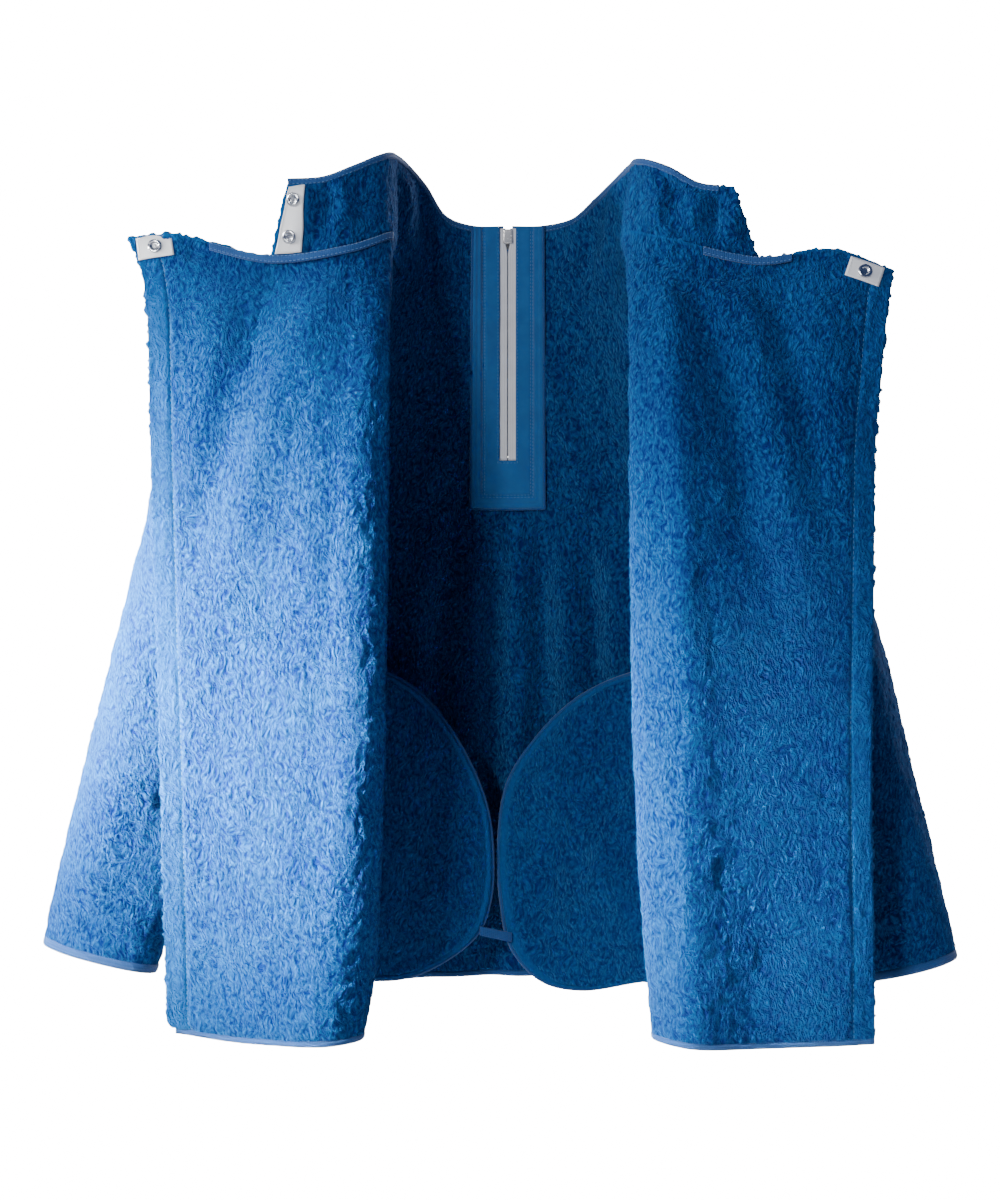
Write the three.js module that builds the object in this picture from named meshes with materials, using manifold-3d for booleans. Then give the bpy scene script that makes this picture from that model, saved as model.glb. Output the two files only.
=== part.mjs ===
// Sherpa pullover with a quarter zip and an open back. Each back panel is unsnapped and folded
// outwards over its sleeve, with its inside to the back. Millimetres, +Z up, +Y towards the wearer's
// front, +X towards the wearer's right. The origin is between the two side-neck points, where the
// wearer's shoulders hold the garment up.
import * as THREE from "three";
import Module from "manifold-3d";

const wasm = await Module();
wasm.setup();

// ---- Driving dimensions ----
const sherpaWall = 4;
const knitWall = 1.6;
const bindingWall = 4.8;
const tapeWall = 0.7;
const twillWall = 0.8;
const layerGap = 0.3; // between pieces that lie on each other
const facetEase = 0.5; // more room where a piece lies on a curved one
const seamInset = 0.17; // each edge gives way by this, so a seam is open by twice as much

const neckHalf = 105; // half the neck's width, and its depth in front
const neckDrop = 56; // front neck below the side neck
const shoulderHalf = 225;
const shoulderDrop = 48;
const armholeFoot = -265; // underarm level
const armholeTurn = THREE.MathUtils.degToRad(26); // how far the armhole cuts into the chest ring
const chestHalf = 215;
const frontDepth = 132;
const backDepth = 112;
const hemLevel = -683;
const hemBinding = 6;

const collarHeight = 83;
const zipFoot = -190; // the slit's lower end
const facingFoot = -236;
const facingHalf = 35.5;
const slotHalf = 7.8;
const slitHalf = 4;

const armholeShare = 0.4; // share of a body row's run that lies beside the armhole
const foldStart = 2 / 7; // on a back panel's rows: the side neck, the fold, the collar's end
const foldTop = 3 / 7;
const collarEnd = 5 / 7;

const sides = { left: -1, right: 1 };

// ---- Small helpers ----
const vec = (x, y, z) => new THREE.Vector3(x, y, z);
const mix = (a, b, t) => a + (b - a) * t;
const evenly = (from, to, steps) =>
  Array.from({ length: steps + 1 }, (_, i) => mix(from, to, i / steps));

// Straight-line reading of a short list of [level, value] pairs, highest level first.
function atLevel(pairs, level) {
  const next = pairs.findIndex(([z]) => z <= level);
  if (next === 0) return pairs[0][1];
  if (next < 0) return pairs[pairs.length - 1][1];
  const [z0, v0] = pairs[next - 1];
  const [z1, v1] = pairs[next];
  return mix(v0, v1, (level - z0) / (z1 - z0));
}

// A smooth curve through a few points, read from 0 to 1.
const through = (points) => new THREE.CatmullRomCurve3(points, false, "centripetal");

// ---- Walls ----
// The unit normal of a surface point(u, v), from differences kept inside the grid's own range.
function normalOf(point, u, v, [uLow, uHigh], [vLow, vHigh]) {
  const step = 0.004;
  const alongU = point(Math.min(u + step, uHigh), v).sub(point(Math.max(u - step, uLow), v));
  const alongV = point(u, Math.min(v + step, vHigh)).sub(point(u, Math.max(v - step, vLow)));
  return alongU.cross(alongV).normalize();
}

// A closed wall on a grid of surface points. facing is 1 where u across v gives the garment's outer
// side and -1 where it gives the inner. offset moves the wall out (or in, where it is negative).
// keep leaves cells out, and edgeNormal bends the end faces of a seam to meet their neighbour's.
function wallGeometry(options) {
  const { across, down, point, thickness, offset = 0, facing = 1 } = options;
  const { ring = false, keep = () => true, edgeNormal = (u, v, n) => n, inset = seamInset } = options;
  const columns = across.length;
  const rows = down.length;
  const uRange = ring ? [-Infinity, Infinity] : [across[0], across[columns - 1]];
  const vRange = [Math.min(...down), Math.max(...down)];
  const mid = down.map((v) =>
    across.map((u) => {
      const normal = edgeNormal(u, v, normalOf(point, u, v, uRange, vRange));
      return { at: point(u, v).addScaledVector(normal, offset * facing), normal };
    }),
  );
  const pulled = (i, j) => {
    const here = mid[j][i].at;
    const moved = here.clone();
    const pull = (other) => moved.add(other.at.clone().sub(here).setLength(inset));
    if (!ring && i === 0) pull(mid[j][1]);
    if (!ring && i === columns - 1) pull(mid[j][columns - 2]);
    if (j === 0) pull(mid[1][i]);
    if (j === rows - 1) pull(mid[rows - 2][i]);
    return moved;
  };
  const skin = (side) =>
    mid.map((row, j) => row.map((m, i) => pulled(i, j).addScaledVector(m.normal, (side * thickness) / 2)));
  const upper = skin(1);
  const lower = skin(-1);
  const cellColumns = ring ? columns : columns - 1;
  const kept = (i, j) =>
    j >= 0 && j < rows - 1 && (ring || (i >= 0 && i < cellColumns)) &&
    keep((i + cellColumns) % cellColumns, j);
  const corners = [];
  const quad = (a, b, c, d) => corners.push(a, b, c, a, c, d);
  for (let j = 0; j < rows - 1; j++) {
    for (let i = 0; i < cellColumns; i++) {
      if (!kept(i, j)) continue;
      const k = (i + 1) % columns;
      quad(upper[j][i], upper[j][k], upper[j + 1][k], upper[j + 1][i]);
      quad(lower[j][i], lower[j + 1][i], lower[j + 1][k], lower[j][k]);
      const rim = (jp, ip, jq, iq) => quad(upper[jq][iq], upper[jp][ip], lower[jp][ip], lower[jq][iq]);
      if (!kept(i, j - 1)) rim(j, i, j, k);
      if (!kept(i + 1, j)) rim(j, k, j + 1, k);
      if (!kept(i, j + 1)) rim(j + 1, k, j + 1, i);
      if (!kept(i - 1, j)) rim(j + 1, i, j, i);
    }
  }
  return new THREE.BufferGeometry().setFromPoints(corners);
}

// ---- The body's surfaces ----
// Rows run from 0 at the shoulder and neck to 1 at the hem. Beside the armhole they follow its turn.
const turnAt = (v) => Math.min(v / armholeShare, 1) * Math.PI;
const sinkAt = (v) => (1 - Math.cos(turnAt(v))) / 2; // 0 at the shoulder, 1 at the underarm
const levelAt = (v) => mix(armholeFoot, hemLevel, Math.max(0, (v - armholeShare) / (1 - armholeShare)));
const cutAngle = (v) => Math.PI / 2 - armholeTurn * Math.sin(turnAt(v));
const neckLevel = (angle) => -neckDrop * Math.max(0, Math.cos(angle)) ** 1.1;

// The seam line over the shoulders and round the front neck, for u from -1 to 1 across the garment.
function topLine(u) {
  const size = Math.abs(u);
  const side = Math.sign(u);
  if (size < 0.5) {
    const angle = size * Math.PI;
    return vec(side * neckHalf * Math.sin(angle), neckHalf * Math.cos(angle), neckLevel(angle));
  }
  const out = (size - 0.5) / 0.5;
  return vec(side * mix(neckHalf, shoulderHalf, out), 0, -shoulderDrop * out ** 1.15);
}

// The general figure's surface: front for a positive depth, back for a negative one.
function bodyPoint(u, v, depth) {
  const sink = sinkAt(v);
  const round = Math.sqrt(1 - (1 - sink) ** 2);
  const swell = mix(sink, round, u * u);
  const top = topLine(u);
  const angle = u * cutAngle(v);
  const y = depth > 0 ? mix(top.y, depth * Math.cos(angle), swell) : depth * Math.cos(angle) * round;
  return vec(
    mix(top.x, chestHalf * Math.sin(angle), sink),
    y,
    v < armholeShare ? mix(top.z, armholeFoot, sink) : levelAt(v),
  );
}
const frontPoint = (u, v) => bodyPoint(u, v, frontDepth);

const armRows = evenly(0, armholeShare, 7);
const slitTurn = Math.acos(1 - (2 * (-neckDrop - zipFoot)) / (-neckDrop - armholeFoot));
const slitRow = 4;
armRows[slitRow] = (armholeShare * slitTurn) / Math.PI; // a row at the slit's lower end
const bindingShare = (hemBinding / (armholeFoot - hemLevel)) * (1 - armholeShare);
const skirtRows = evenly(armholeShare, 1 - bindingShare, 7).slice(1);
const bodyRows = [...armRows, ...skirtRows];

// Where two pieces meet at an angle, both end on the same slanted face.
const flatAcross = (n) => vec(n.x, 0, n.z).normalize();
const neckMitre = (angle, side) =>
  vec(side * Math.sin(angle) * 0.8, Math.cos(angle) * 0.8, 0.6);

function armholeNormal(side, v, depth) {
  const n = normalOf(
    (u, w) => bodyPoint(u, w, depth), side, v, [Math.min(side, side * 0.9), Math.max(side, side * 0.9)],
    [0, 1],
  ).multiplyScalar(Math.sign(depth));
  const level = v === 0 || v >= armholeShare ? flatAcross(n) : n;
  if (v > armholeShare) return level;
  level.z -= 0.9 * sinkAt(v) ** 4; // halfway to the sleeve's underside, which leaves at a right angle
  return level.normalize();
}

function frontEdgeNormal(u, v, n) {
  if (v === 0 && Math.abs(u) <= 0.5) return neckMitre(Math.abs(u) * Math.PI, Math.sign(u));
  if (v === 0 && Math.abs(u) < 1) return flatAcross(n);
  return Math.abs(u) === 1 ? armholeNormal(u, v, frontDepth) : n;
}

// ---- The folded back panels ----
// Each is read at u = 0 on its side seam and armhole, to 1 at its free edge.
const panelShape = {
  left: {
    topLevels: [16, 5, -5, 13, 9],
    hemLevels: [-685, -687, -688, -688, -684],
    foldX: [[0, 104], [-200, 105], [-390, 108], [-620, 117], [-687, 129]],
    edgeX: [[9, 329], [-20, 317], [-60, 311], [-200, 307], [-390, 302], [-670, 299], [-684, 289]],
    topX: [135, 206, 291],
  },
  right: {
    topLevels: [16, 11, -7, 0, -19],
    hemLevels: [-685, -689, -692, -692, -692],
    foldX: [[0, 106], [-200, 106], [-390, 109], [-560, 117], [-687, 128]],
    edgeX: [[-19, 333], [-70, 325], [-200, 315], [-400, 314], [-690, 319]],
    topX: [135, 216, 283],
  },
};
const foldDepth = [[0, 48], [-60, 74], [-140, 95], [-265, 108], [-450, 114], [-690, 116]];
const edgeDepth = [[0, 66], [-60, 86], [-140, 99], [-265, 104], [-690, 102]];
const foldWrap = 9; // how much further out the hidden layer stays than the fold
const foldBulge = 19; // how far the outer layer stands behind the fold

// The layer between the side seam and the fold, which lies on the general figure's back.
function hiddenPoint(name, share, v) {
  const side = sides[name];
  const sink = sinkAt(v);
  const round = Math.sqrt(1 - (1 - sink) ** 2);
  const top = topLine(mix(1, 0.5, share));
  const z = v < armholeShare ? mix(top.z, armholeFoot, sink) : levelAt(v);
  const turned = Math.asin((atLevel(panelShape[name].foldX, z) + foldWrap) / chestHalf);
  const angle = mix(cutAngle(v), turned, share);
  const x = mix(top.x, chestHalf * Math.sin(angle), mix(sink, round, share));
  return vec(side * x, -backDepth * Math.cos(angle) * round, z);
}

// A row's run from the side neck through the fold to the free edge, kept once worked out.
const foldCurves = new Map();
function foldCurve(name, v) {
  const key = name + v;
  if (!foldCurves.has(key)) {
    const side = sides[name];
    const shape = panelShape[name];
    const share = hiddenPoint(name, 1, v).z / hemLevel;
    const level = shape.topLevels.map((top, i) => mix(top, shape.hemLevels[i], share));
    const foldAt = atLevel(shape.foldX, level[0]);
    const edgeAt = atLevel(shape.edgeX, level[4]);
    const depth = atLevel(foldDepth, level[0]);
    const edge = atLevel(edgeDepth, level[4]);
    const outer = depth + foldBulge;
    const spread = (x, part) => mix(x, mix(foldAt, edgeAt, part), Math.min(1, share * 3));
    foldCurves.set(
      key,
      through([
        hiddenPoint(name, 0.85, v),
        hiddenPoint(name, 1, v),
        vec(side * foldAt, -depth, level[0]),
        vec(side * spread(shape.topX[0], 0.16), -outer, level[1]),
        vec(side * spread(shape.topX[1], 0.46), -mix(outer, edge, 0.3), level[2]),
        vec(side * spread(shape.topX[2], 0.75), -mix(outer, edge, 0.65), level[3]),
        vec(side * edgeAt, -edge, level[4]),
      ]),
    );
  }
  return foldCurves.get(key);
}
function panelPoint(name, u, v) {
  if (u <= foldStart) return hiddenPoint(name, u / foldStart, v);
  return foldCurve(name, v).getPoint((1 + u * 7 - 2) / 6);
}

// The normal of the outer layer's top edge, shared with the collar that stands on it. It is level
// but for the turn out of the side neck's slant.
function ledgeNormal(name, u) {
  const along = panelPoint(name, u + 0.002, 0).sub(panelPoint(name, u - 0.002, 0));
  const level = along.cross(vec(0, 0, -1)).normalize();
  level.z = sides[name] * 0.75 * Math.max(0, 1 - (u - foldStart) / 0.2);
  return level.normalize();
}

function panelEdgeNormal(name) {
  const side = sides[name];
  return (u, v, n) => {
    if (u === 0) return armholeNormal(side, v, -backDepth).multiplyScalar(side);
    if (v > 0) return n;
    if (u < foldStart) return flatAcross(n);
    return u === foldStart ? neckMitre(Math.PI / 2, side).multiplyScalar(side) : ledgeNormal(name, u);
  };
}

const hiddenColumns = evenly(0, foldStart, 4);
const hairpinColumns = evenly(foldStart, 4 / 7, 7).slice(1);
const outerColumns = [...evenly(4 / 7, collarEnd, 2).slice(1), ...evenly(collarEnd, 1, 4).slice(1)];
const panelColumns = [...hiddenColumns, ...hairpinColumns, ...outerColumns];

// ---- Sleeves ----
// Rings are read from the armhole (0) to the cuff (1), and round from the outer side over the front.
const sleeveOuter = {
  left: [[225, -48], [256, -60], [284, -95], [302, -150], [321, -230], [343, -300], [367, -388],
    [395, -500], [421, -624]],
  right: [[225, -48], [254, -60], [280, -95], [296, -150], [310, -230], [327, -305], [348, -392],
    [376, -505], [407, -637]],
};
const sleeveInner = {
  left: [[215, -265], [229, -266], [235, -275], [237, -292], [239, -325], [242, -370], [252, -430],
    [281, -530], [322, -650]],
  right: [[215, -265], [229, -266], [234, -275], [235, -292], [236, -325], [239, -370], [247, -430],
    [273, -535], [312, -659]],
};
const sleeveDepth = [[0, 50], [-1, 60], [-2, 66], [-3, 67], [-4, 63], [-5, 58], [-6, 50], [-7, 38], [-8, 27]];
const sleeveSteps = 8;

function sleeveSpine(name) {
  const lift = ([x, z]) => vec(x * sides[name], 0, z);
  return { outer: through(sleeveOuter[name].map(lift)), inner: through(sleeveInner[name].map(lift)) };
}
const spines = { left: sleeveSpine("left"), right: sleeveSpine("right") };

function sleeveRing(name, turn, t) {
  const outer = spines[name].outer.getPoint(t);
  const inner = spines[name].inner.getPoint(t);
  const centre = outer.clone().add(inner).multiplyScalar(0.5);
  const reach = outer.sub(centre).multiplyScalar(Math.cos(turn));
  return centre.add(reach).add(vec(0, atLevel(sleeveDepth, -t * sleeveSteps) * Math.sin(turn), 0));
}

const turnToRow = (turn) => (Math.abs(turn) / Math.PI) * armholeShare;
const depthOfTurn = (turn) => (turn > 0 ? frontDepth : -backDepth);
function sleevePoint(name, turn, t) {
  const wrapped = Math.atan2(Math.sin(turn), Math.cos(turn));
  const root = bodyPoint(sides[name], turnToRow(wrapped), depthOfTurn(wrapped));
  const pull = root.sub(sleeveRing(name, wrapped, 0));
  return sleeveRing(name, wrapped, t).addScaledVector(pull, Math.max(0, 1 - 3 * t) ** 2);
}
const sleeveTurns = [
  ...armRows.map((v) => (v / armholeShare) * Math.PI),
  ...armRows.slice(1, -1).reverse().map((v) => -(v / armholeShare) * Math.PI),
];
function sleeveEdgeNormal(name) {
  const side = sides[name];
  return (turn, t, n) => {
    if (t > 0) return n;
    const v = Math.min(turnToRow(turn), armholeShare);
    const row = armRows.find((r) => Math.abs(r - v) < 1e-9);
    return armholeNormal(side, row, depthOfTurn(turn)).multiplyScalar(-side);
  };
}
const cuffShare = 1 - 0.0085;

// ---- Collar ----
const collarTop = {
  left: [[0, 98, 27], [32, 94, 27], [58, 77, 36], [75, 52, 62], [90, 20, 79], [99, -12, 85],
    [107, -46, 84], [136, -66, 71], [160, -70, 62], [190, -73, 60]],
  right: [[0, 98, 27], [32, 94, 27], [60, 77, 33], [80, 50, 50], [97, 18, 66], [108, -14, 76],
    [115, -46, 79], [138, -66, 71], [166, -70, 56], [195, -73, 54]],
};
const topCurves = {};
for (const name of Object.keys(sides)) {
  const [x, y, z] = collarTop[name][1];
  const mirrored = [-x, y, z]; // so that the two halves run level into each other at the zip
  topCurves[name] = through(
    [mirrored, ...collarTop[name]].map(([a, b, c]) => vec(a * sides[name], b, c)),
  );
}
const collarReading = (t) => (t <= 0.5 ? t * (10 / 9) : mix(5 / 9, 1, (t - 0.5) / 0.5));
function collarBase(name, t) {
  if (t <= 0.5) return topLine(sides[name] * Math.min(t, 0.4999999));
  return panelPoint(name, mix(foldStart, collarEnd, (t - 0.5) / 0.5), 0);
}
// t runs from the zip to the back end, with the side neck at one half; height from 0 to 1.
function collarPoint(name, t, height) {
  const edge = topCurves[name].getPoint((1 + 9 * collarReading(t)) / 10);
  return collarBase(name, t).lerp(edge, height);
}
const slitShare = slitHalf / (neckHalf * Math.PI);
const halfColumns = [slitShare, 0.06, 0.12, ...evenly(0.2, 0.5, 3), ...evenly(0.6, 1, 5)];
const ledgeColumns = panelColumns.filter((u) => u > foldStart && u <= collarEnd + 1e-9);
const collarColumns = [
  ...halfColumns.filter((u) => u <= 0.5),
  ...ledgeColumns.map((u) => mix(0.5, 1, (u - foldStart) / (collarEnd - foldStart))),
];
function collarEdgeNormal(name) {
  const side = sides[name];
  return (t, height, n) => {
    if (height > 0) return n;
    const end = t > 0.5
      ? ledgeNormal(name, mix(foldStart, collarEnd, (t - 0.5) / 0.5)).multiplyScalar(side)
      : neckMitre(t * Math.PI, side);
    return end.multiplyScalar(-side);
  };
}
const collarBindingShare = 1 - 6 / collarHeight;

// ---- The band down the centre front, from the collar's top edge ----
// x across and d down, in millimetres, on the collar's and the front's own surfaces.
function bandPoint(x, d) {
  if (d < collarHeight) {
    const name = x < 0 ? "left" : "right";
    return collarPoint(name, Math.abs(x) / (neckHalf * Math.PI), 1 - d / collarHeight);
  }
  const sink = Math.min(1, (d - collarHeight) / (-neckDrop - armholeFoot));
  const v = (Math.acos(1 - 2 * sink) / Math.PI) * armholeShare;
  return frontPoint(x / mix(neckHalf * Math.PI, chestHalf * cutAngle(v), sink), v);
}
const bandTop = 27;
const zipRun = bandTop - zipFoot;
const facingRun = bandTop - facingFoot;

function bandWall(columns, stops, thickness, inward, more = {}) {
  return wallGeometry({
    across: columns, down: stops, point: more.point ?? bandPoint, thickness, offset: -inward,
    inset: 0, ...more,
  });
}

// ---- Pocket bags ----
const pocketRim = {
  left: [[186, -371], [150, -371], [112, -380], [78, -402], [44, -448], [20, -503], [13, -545],
    [15, -600], [27, -630], [60, -655], [96, -667], [140, -664], [182, -652]],
  right: [[186, -374], [150, -374], [110, -382], [62, -407], [22, -449], [-2, -490], [-10, -545],
    [-8, -600], [2, -645], [30, -674], [66, -680], [120, -668], [182, -655]],
};
const pocketSide = { x: 207, top: -384, foot: -640 };
const slingY = (x) => 8 + (207 - x) * 0.34; // the bags hang straight between the side seams
const rimCurves = {};
for (const name of Object.keys(sides)) {
  rimCurves[name] = through(pocketRim[name].map(([x, z]) => vec(x, slingY(x), z)));
}
const slingNormal = vec(0.34, 1, 0).normalize();
const pocketPuff = 9; // how far the two layers stand apart in the middle
const pocketBinding = 4.4;
// A point of a bag, a from the side seam to the binding and b round from its top: layer -1 is
// the wearer's side, 1 the front's.
function pocketPoint(name, layer) {
  return (a, b) => {
    const { rim, root } = pocketRow(name, b);
    const at = root.clone().lerp(rim, a * (1 - pocketBinding / rim.distanceTo(root)));
    const puff = (Math.sin(Math.PI * a) * Math.sin(Math.PI * b)) ** 2 * pocketPuff;
    at.addScaledVector(slingNormal, layer * ((sherpaWall + layerGap) / 2 + (layer > 0 ? puff : puff / 2)));
    at.x *= sides[name];
    return at;
  };
}
function pocketRow(name, b) {
  const root = vec(pocketSide.x, slingY(pocketSide.x), mix(pocketSide.top, pocketSide.foot, b));
  return { rim: rimCurves[name].getPoint(b), root };
}
function pocketEdgePoint(name) {
  return (a, b) => {
    const { rim, root } = pocketRow(name, b);
    const at = rim.clone().add(root.clone().sub(rim).setLength(pocketBinding * (1 - a) + 1e-4));
    at.x *= sides[name];
    return at;
  };
}

// ---- Materials ----
const paint = (color, roughness, metalness = 0) =>
  new THREE.MeshStandardMaterial({ color, roughness, metalness });
const sherpaMaterial = () => paint(0x1f63a8, 0.95);
const bindingMaterial = () => paint(0x235f9e, 0.75);
const facingMaterial = () => paint(0x174f8c, 0.7);
const tapeMaterial = () => paint(0xe9e9ea, 0.8);
const zipMaterial = () => paint(0xd4d5d8, 0.4);
const snapMaterial = () => paint(0xb9bcc0, 0.3, 1);

const garment = new THREE.Group();
function add(name, geometry, material, parent = garment) {
  const mesh = new THREE.Mesh(geometry, material);
  mesh.name = name;
  parent.add(mesh);
  return mesh;
}

// ---- Body, sleeves and collar ----
// How far in from a sherpa wall's middle a thinner piece lies on its inner face.
const onInside = (thickness) => -(sherpaWall + thickness) / 2 - layerGap - facetEase;
const frontColumns = [...halfColumns.map((u) => -u).reverse(), ...halfColumns];
const slitColumn = halfColumns.length - 1;

function addFront() {
  const shared = { across: frontColumns, point: frontPoint, edgeNormal: frontEdgeNormal };
  const keep = (i, j) => i !== slitColumn || j >= slitRow;
  const wall = { ...shared, down: bodyRows, thickness: sherpaWall, keep };
  add("front", wallGeometry(wall), sherpaMaterial());
  const binding = { ...shared, down: [1 - bindingShare, 1], thickness: bindingWall };
  add("hem_binding_front", wallGeometry(binding), bindingMaterial());
}

const neckTapeRows = [0.004, 0.042]; // about 7 mm wide, along the top edge
const neckTapeEnd = 0.86;
function addBackPanel(name) {
  const point = (u, v) => panelPoint(name, u, v);
  const shared = { across: panelColumns, point, facing: sides[name], edgeNormal: panelEdgeNormal(name) };
  add("back_" + name, wallGeometry({ ...shared, down: bodyRows, thickness: sherpaWall }), sherpaMaterial());
  const binding = { ...shared, down: [1 - bindingShare, 1], thickness: bindingWall };
  add("hem_binding_" + name, wallGeometry(binding), bindingMaterial());
  const neckTape = {
    ...shared, across: panelColumns.filter((u) => u > foldTop && u < neckTapeEnd), down: neckTapeRows,
    thickness: knitWall, offset: onInside(knitWall), edgeNormal: undefined,
  };
  add("neck_binding_" + name, wallGeometry(neckTape), bindingMaterial());
}

const sleeveInset = 0.4; // the armhole turns sharply under the arm, so its seam is opened a little more
function addSleeve(name) {
  const point = (turn, t) => sleevePoint(name, turn, t);
  const shared = {
    across: sleeveTurns, point, ring: true, facing: -sides[name], edgeNormal: sleeveEdgeNormal(name),
    inset: sleeveInset,
  };
  const down = [0, 0.05, ...evenly(0.11, cuffShare, 8)];
  add("sleeve_" + name, wallGeometry({ ...shared, down, thickness: sherpaWall }), sherpaMaterial());
  const binding = { ...shared, down: [cuffShare, 1], thickness: bindingWall };
  add("cuff_binding_" + name, wallGeometry(binding), bindingMaterial());
}

function addCollar(name) {
  const point = (t, height) => collarPoint(name, t, height);
  const shared = {
    across: collarColumns, point, facing: -sides[name], edgeNormal: collarEdgeNormal(name), inset: 0.3,
  };
  const wall = { ...shared, down: evenly(0, collarBindingShare, 3), thickness: sherpaWall };
  add("collar_" + name, wallGeometry(wall), sherpaMaterial());
  const binding = { ...shared, down: [collarBindingShare, 1], thickness: bindingWall };
  add("collar_binding_" + name, wallGeometry(binding), bindingMaterial());
}

// ---- Zip and facing ----
const tapeIn = (sherpaWall + tapeWall) / 2 + layerGap + facetEase;
const facingIn = tapeIn + (tapeWall + knitWall) / 2 + layerGap;
const bandStops = [2, ...evenly(20, collarHeight, 3), ...evenly(collarHeight + 20, zipRun, 5)];

function addFacing() {
  const outer = [slotHalf, (slotHalf + facingHalf) / 2, facingHalf];
  const columns = [...outer.map((x) => -x).reverse(), ...outer];
  const down = [...bandStops, zipRun + 14, facingRun];
  const keep = (i, j) => i !== 2 || j >= bandStops.length - 1;
  add("zip_facing", bandWall(columns, down, knitWall, facingIn, { keep }), facingMaterial());
}

const sliderTop = 3;
const sliderRun = 13;
const sliderFoot = sliderTop + sliderRun;
function addTape(name) {
  const side = sides[name];
  const point = (x, d) => {
    const spread = d < sliderFoot + 2 ? 2.2 : 0.3; // the halves part round the slider
    return bandPoint(side * mix(spread, 12, x), d);
  };
  const columns = [0, 1];
  const stops = [2, sliderFoot + 1, sliderFoot + 6, ...bandStops.slice(2)];
  const more = { point, facing: side };
  add("zip_tape_" + name, bandWall(columns, stops, tapeWall, tapeIn, more), tapeMaterial());
}

const chainDepth = 2.4;
function addChain() {
  const stops = [sliderFoot + 6, ...bandStops.slice(2, -1), zipRun - 3];
  const inward = tapeIn - (tapeWall + chainDepth) / 2 - layerGap;
  add("zip_chain", bandWall([-2.4, 2.4], stops, chainDepth, inward), zipMaterial());
}

// Closed solids from three.js geometry, joined into one.
function solidFrom(geometry) {
  const flat = geometry.index ? geometry.toNonIndexed() : geometry;
  const place = flat.getAttribute("position");
  const keys = new Map();
  const vertices = [];
  const corners = [];
  for (let i = 0; i < place.count; i++) {
    const at = [place.getX(i), place.getY(i), place.getZ(i)].map((c) => Math.round(c * 1e4) / 1e4 + 0);
    const key = at.join();
    if (!keys.has(key)) {
      keys.set(key, keys.size);
      vertices.push(...at);
    }
    corners.push(keys.get(key));
  }
  const triangles = [];
  for (let i = 0; i < corners.length; i += 3) {
    const [a, b, c] = corners.slice(i, i + 3);
    if (a !== b && b !== c && a !== c) triangles.push(a, b, c);
  }
  return new wasm.Manifold(new wasm.Mesh({
    numProp: 3, vertProperties: new Float32Array(vertices), triVerts: new Uint32Array(triangles),
  }));
}
function joined(geometries) {
  const mesh = geometries.map(solidFrom).reduce((whole, next) => whole.add(next)).getMesh();
  return new THREE.BufferGeometry()
    .setAttribute("position", new THREE.BufferAttribute(mesh.vertProperties, 3))
    .setIndex(new THREE.BufferAttribute(mesh.triVerts, 1));
}
function outlinePrism(points, depth) {
  const shape = new THREE.Shape(points.map(([x, y]) => new THREE.Vector2(x, y)));
  return new THREE.ExtrudeGeometry(shape, { depth, bevelEnabled: false });
}

// The slider's own frame: X across, Y out from the wearer, Z along the zip, origin in the cloth's middle.
const plateOut = sherpaWall / 2 + 0.6;
const plateThick = 1.2;
const backPlate = -facingIn - knitWall / 2 - 0.2;
const hingeOut = plateOut + plateThick + 1.5;
const eyeRadius = 0.6;
const sliderFrame = new THREE.Group();
function addSlider() {
  const half = 4.6;
  const bridge = 1.4;
  const insideTop = backPlate + plateThick;
  const profile = [
    [-half, backPlate], [half, backPlate], [half, insideTop], [bridge, insideTop], [bridge, plateOut],
    [half, plateOut], [half, plateOut + plateThick], [-half, plateOut + plateThick], [-half, plateOut],
    [-bridge, plateOut], [-bridge, insideTop], [-half, insideTop],
  ];
  const body = outlinePrism(profile, sliderRun).translate(0, 0, -sliderRun / 2);
  const crownFoot = plateOut + plateThick - 0.3;
  const crown = [
    [-4.5, crownFoot], [-3, crownFoot], [-1.6, hingeOut - 0.2], [-1.1, hingeOut + 1], [1.1, hingeOut + 1],
    [1.6, hingeOut - 0.2], [3, crownFoot], [4.5, crownFoot], [2.6, hingeOut + 1.4], [1.6, hingeOut + 2.2],
    [-1.6, hingeOut + 2.2], [-2.6, hingeOut + 1.4],
  ];
  const arch = outlinePrism(crown, 2).translate(0, 0, -1);
  // The arch is drawn along the zip and out, then turned so that its width lies across.
  arch.applyMatrix4(new THREE.Matrix4().makeBasis(vec(0, 0, 1), vec(0, 1, 0), vec(-1, 0, 0)));
  add("zip_slider", joined([body, arch]), zipMaterial(), sliderFrame);
}

const pullLength = 27;
function addPull() {
  const half = 3.2;
  const legIn = 1.5;
  const thick = 1.2;
  const ring = new THREE.Shape([
    [-half, eyeRadius], [-half, -pullLength], [half, -pullLength], [half, eyeRadius],
  ].map(([x, z]) => new THREE.Vector2(x, z)));
  ring.holes.push(new THREE.Path([
    [-legIn, -eyeRadius], [legIn, -eyeRadius], [legIn, -6], [-legIn, -6],
  ].map(([x, z]) => new THREE.Vector2(x, z))));
  const plate = new THREE.ExtrudeGeometry(ring, { depth: thick, bevelEnabled: false });
  plate.rotateX(Math.PI / 2).translate(0, hingeOut + thick / 2, 0);
  add("zip_pull", plate, zipMaterial(), sliderFrame);
}

function placeSlider() {
  const middle = sliderTop + sliderRun / 2;
  const at = bandPoint(0, middle);
  const up = bandPoint(0, sliderTop).sub(bandPoint(0, sliderFoot)).normalize();
  const out = up.clone().cross(vec(1, 0, 0)).multiplyScalar(-1).normalize();
  const turned = new THREE.Matrix4().makeBasis(vec(1, 0, 0), out, up);
  sliderFrame.quaternion.setFromRotationMatrix(turned);
  sliderFrame.position.copy(at);
  garment.add(sliderFrame);
}

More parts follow.
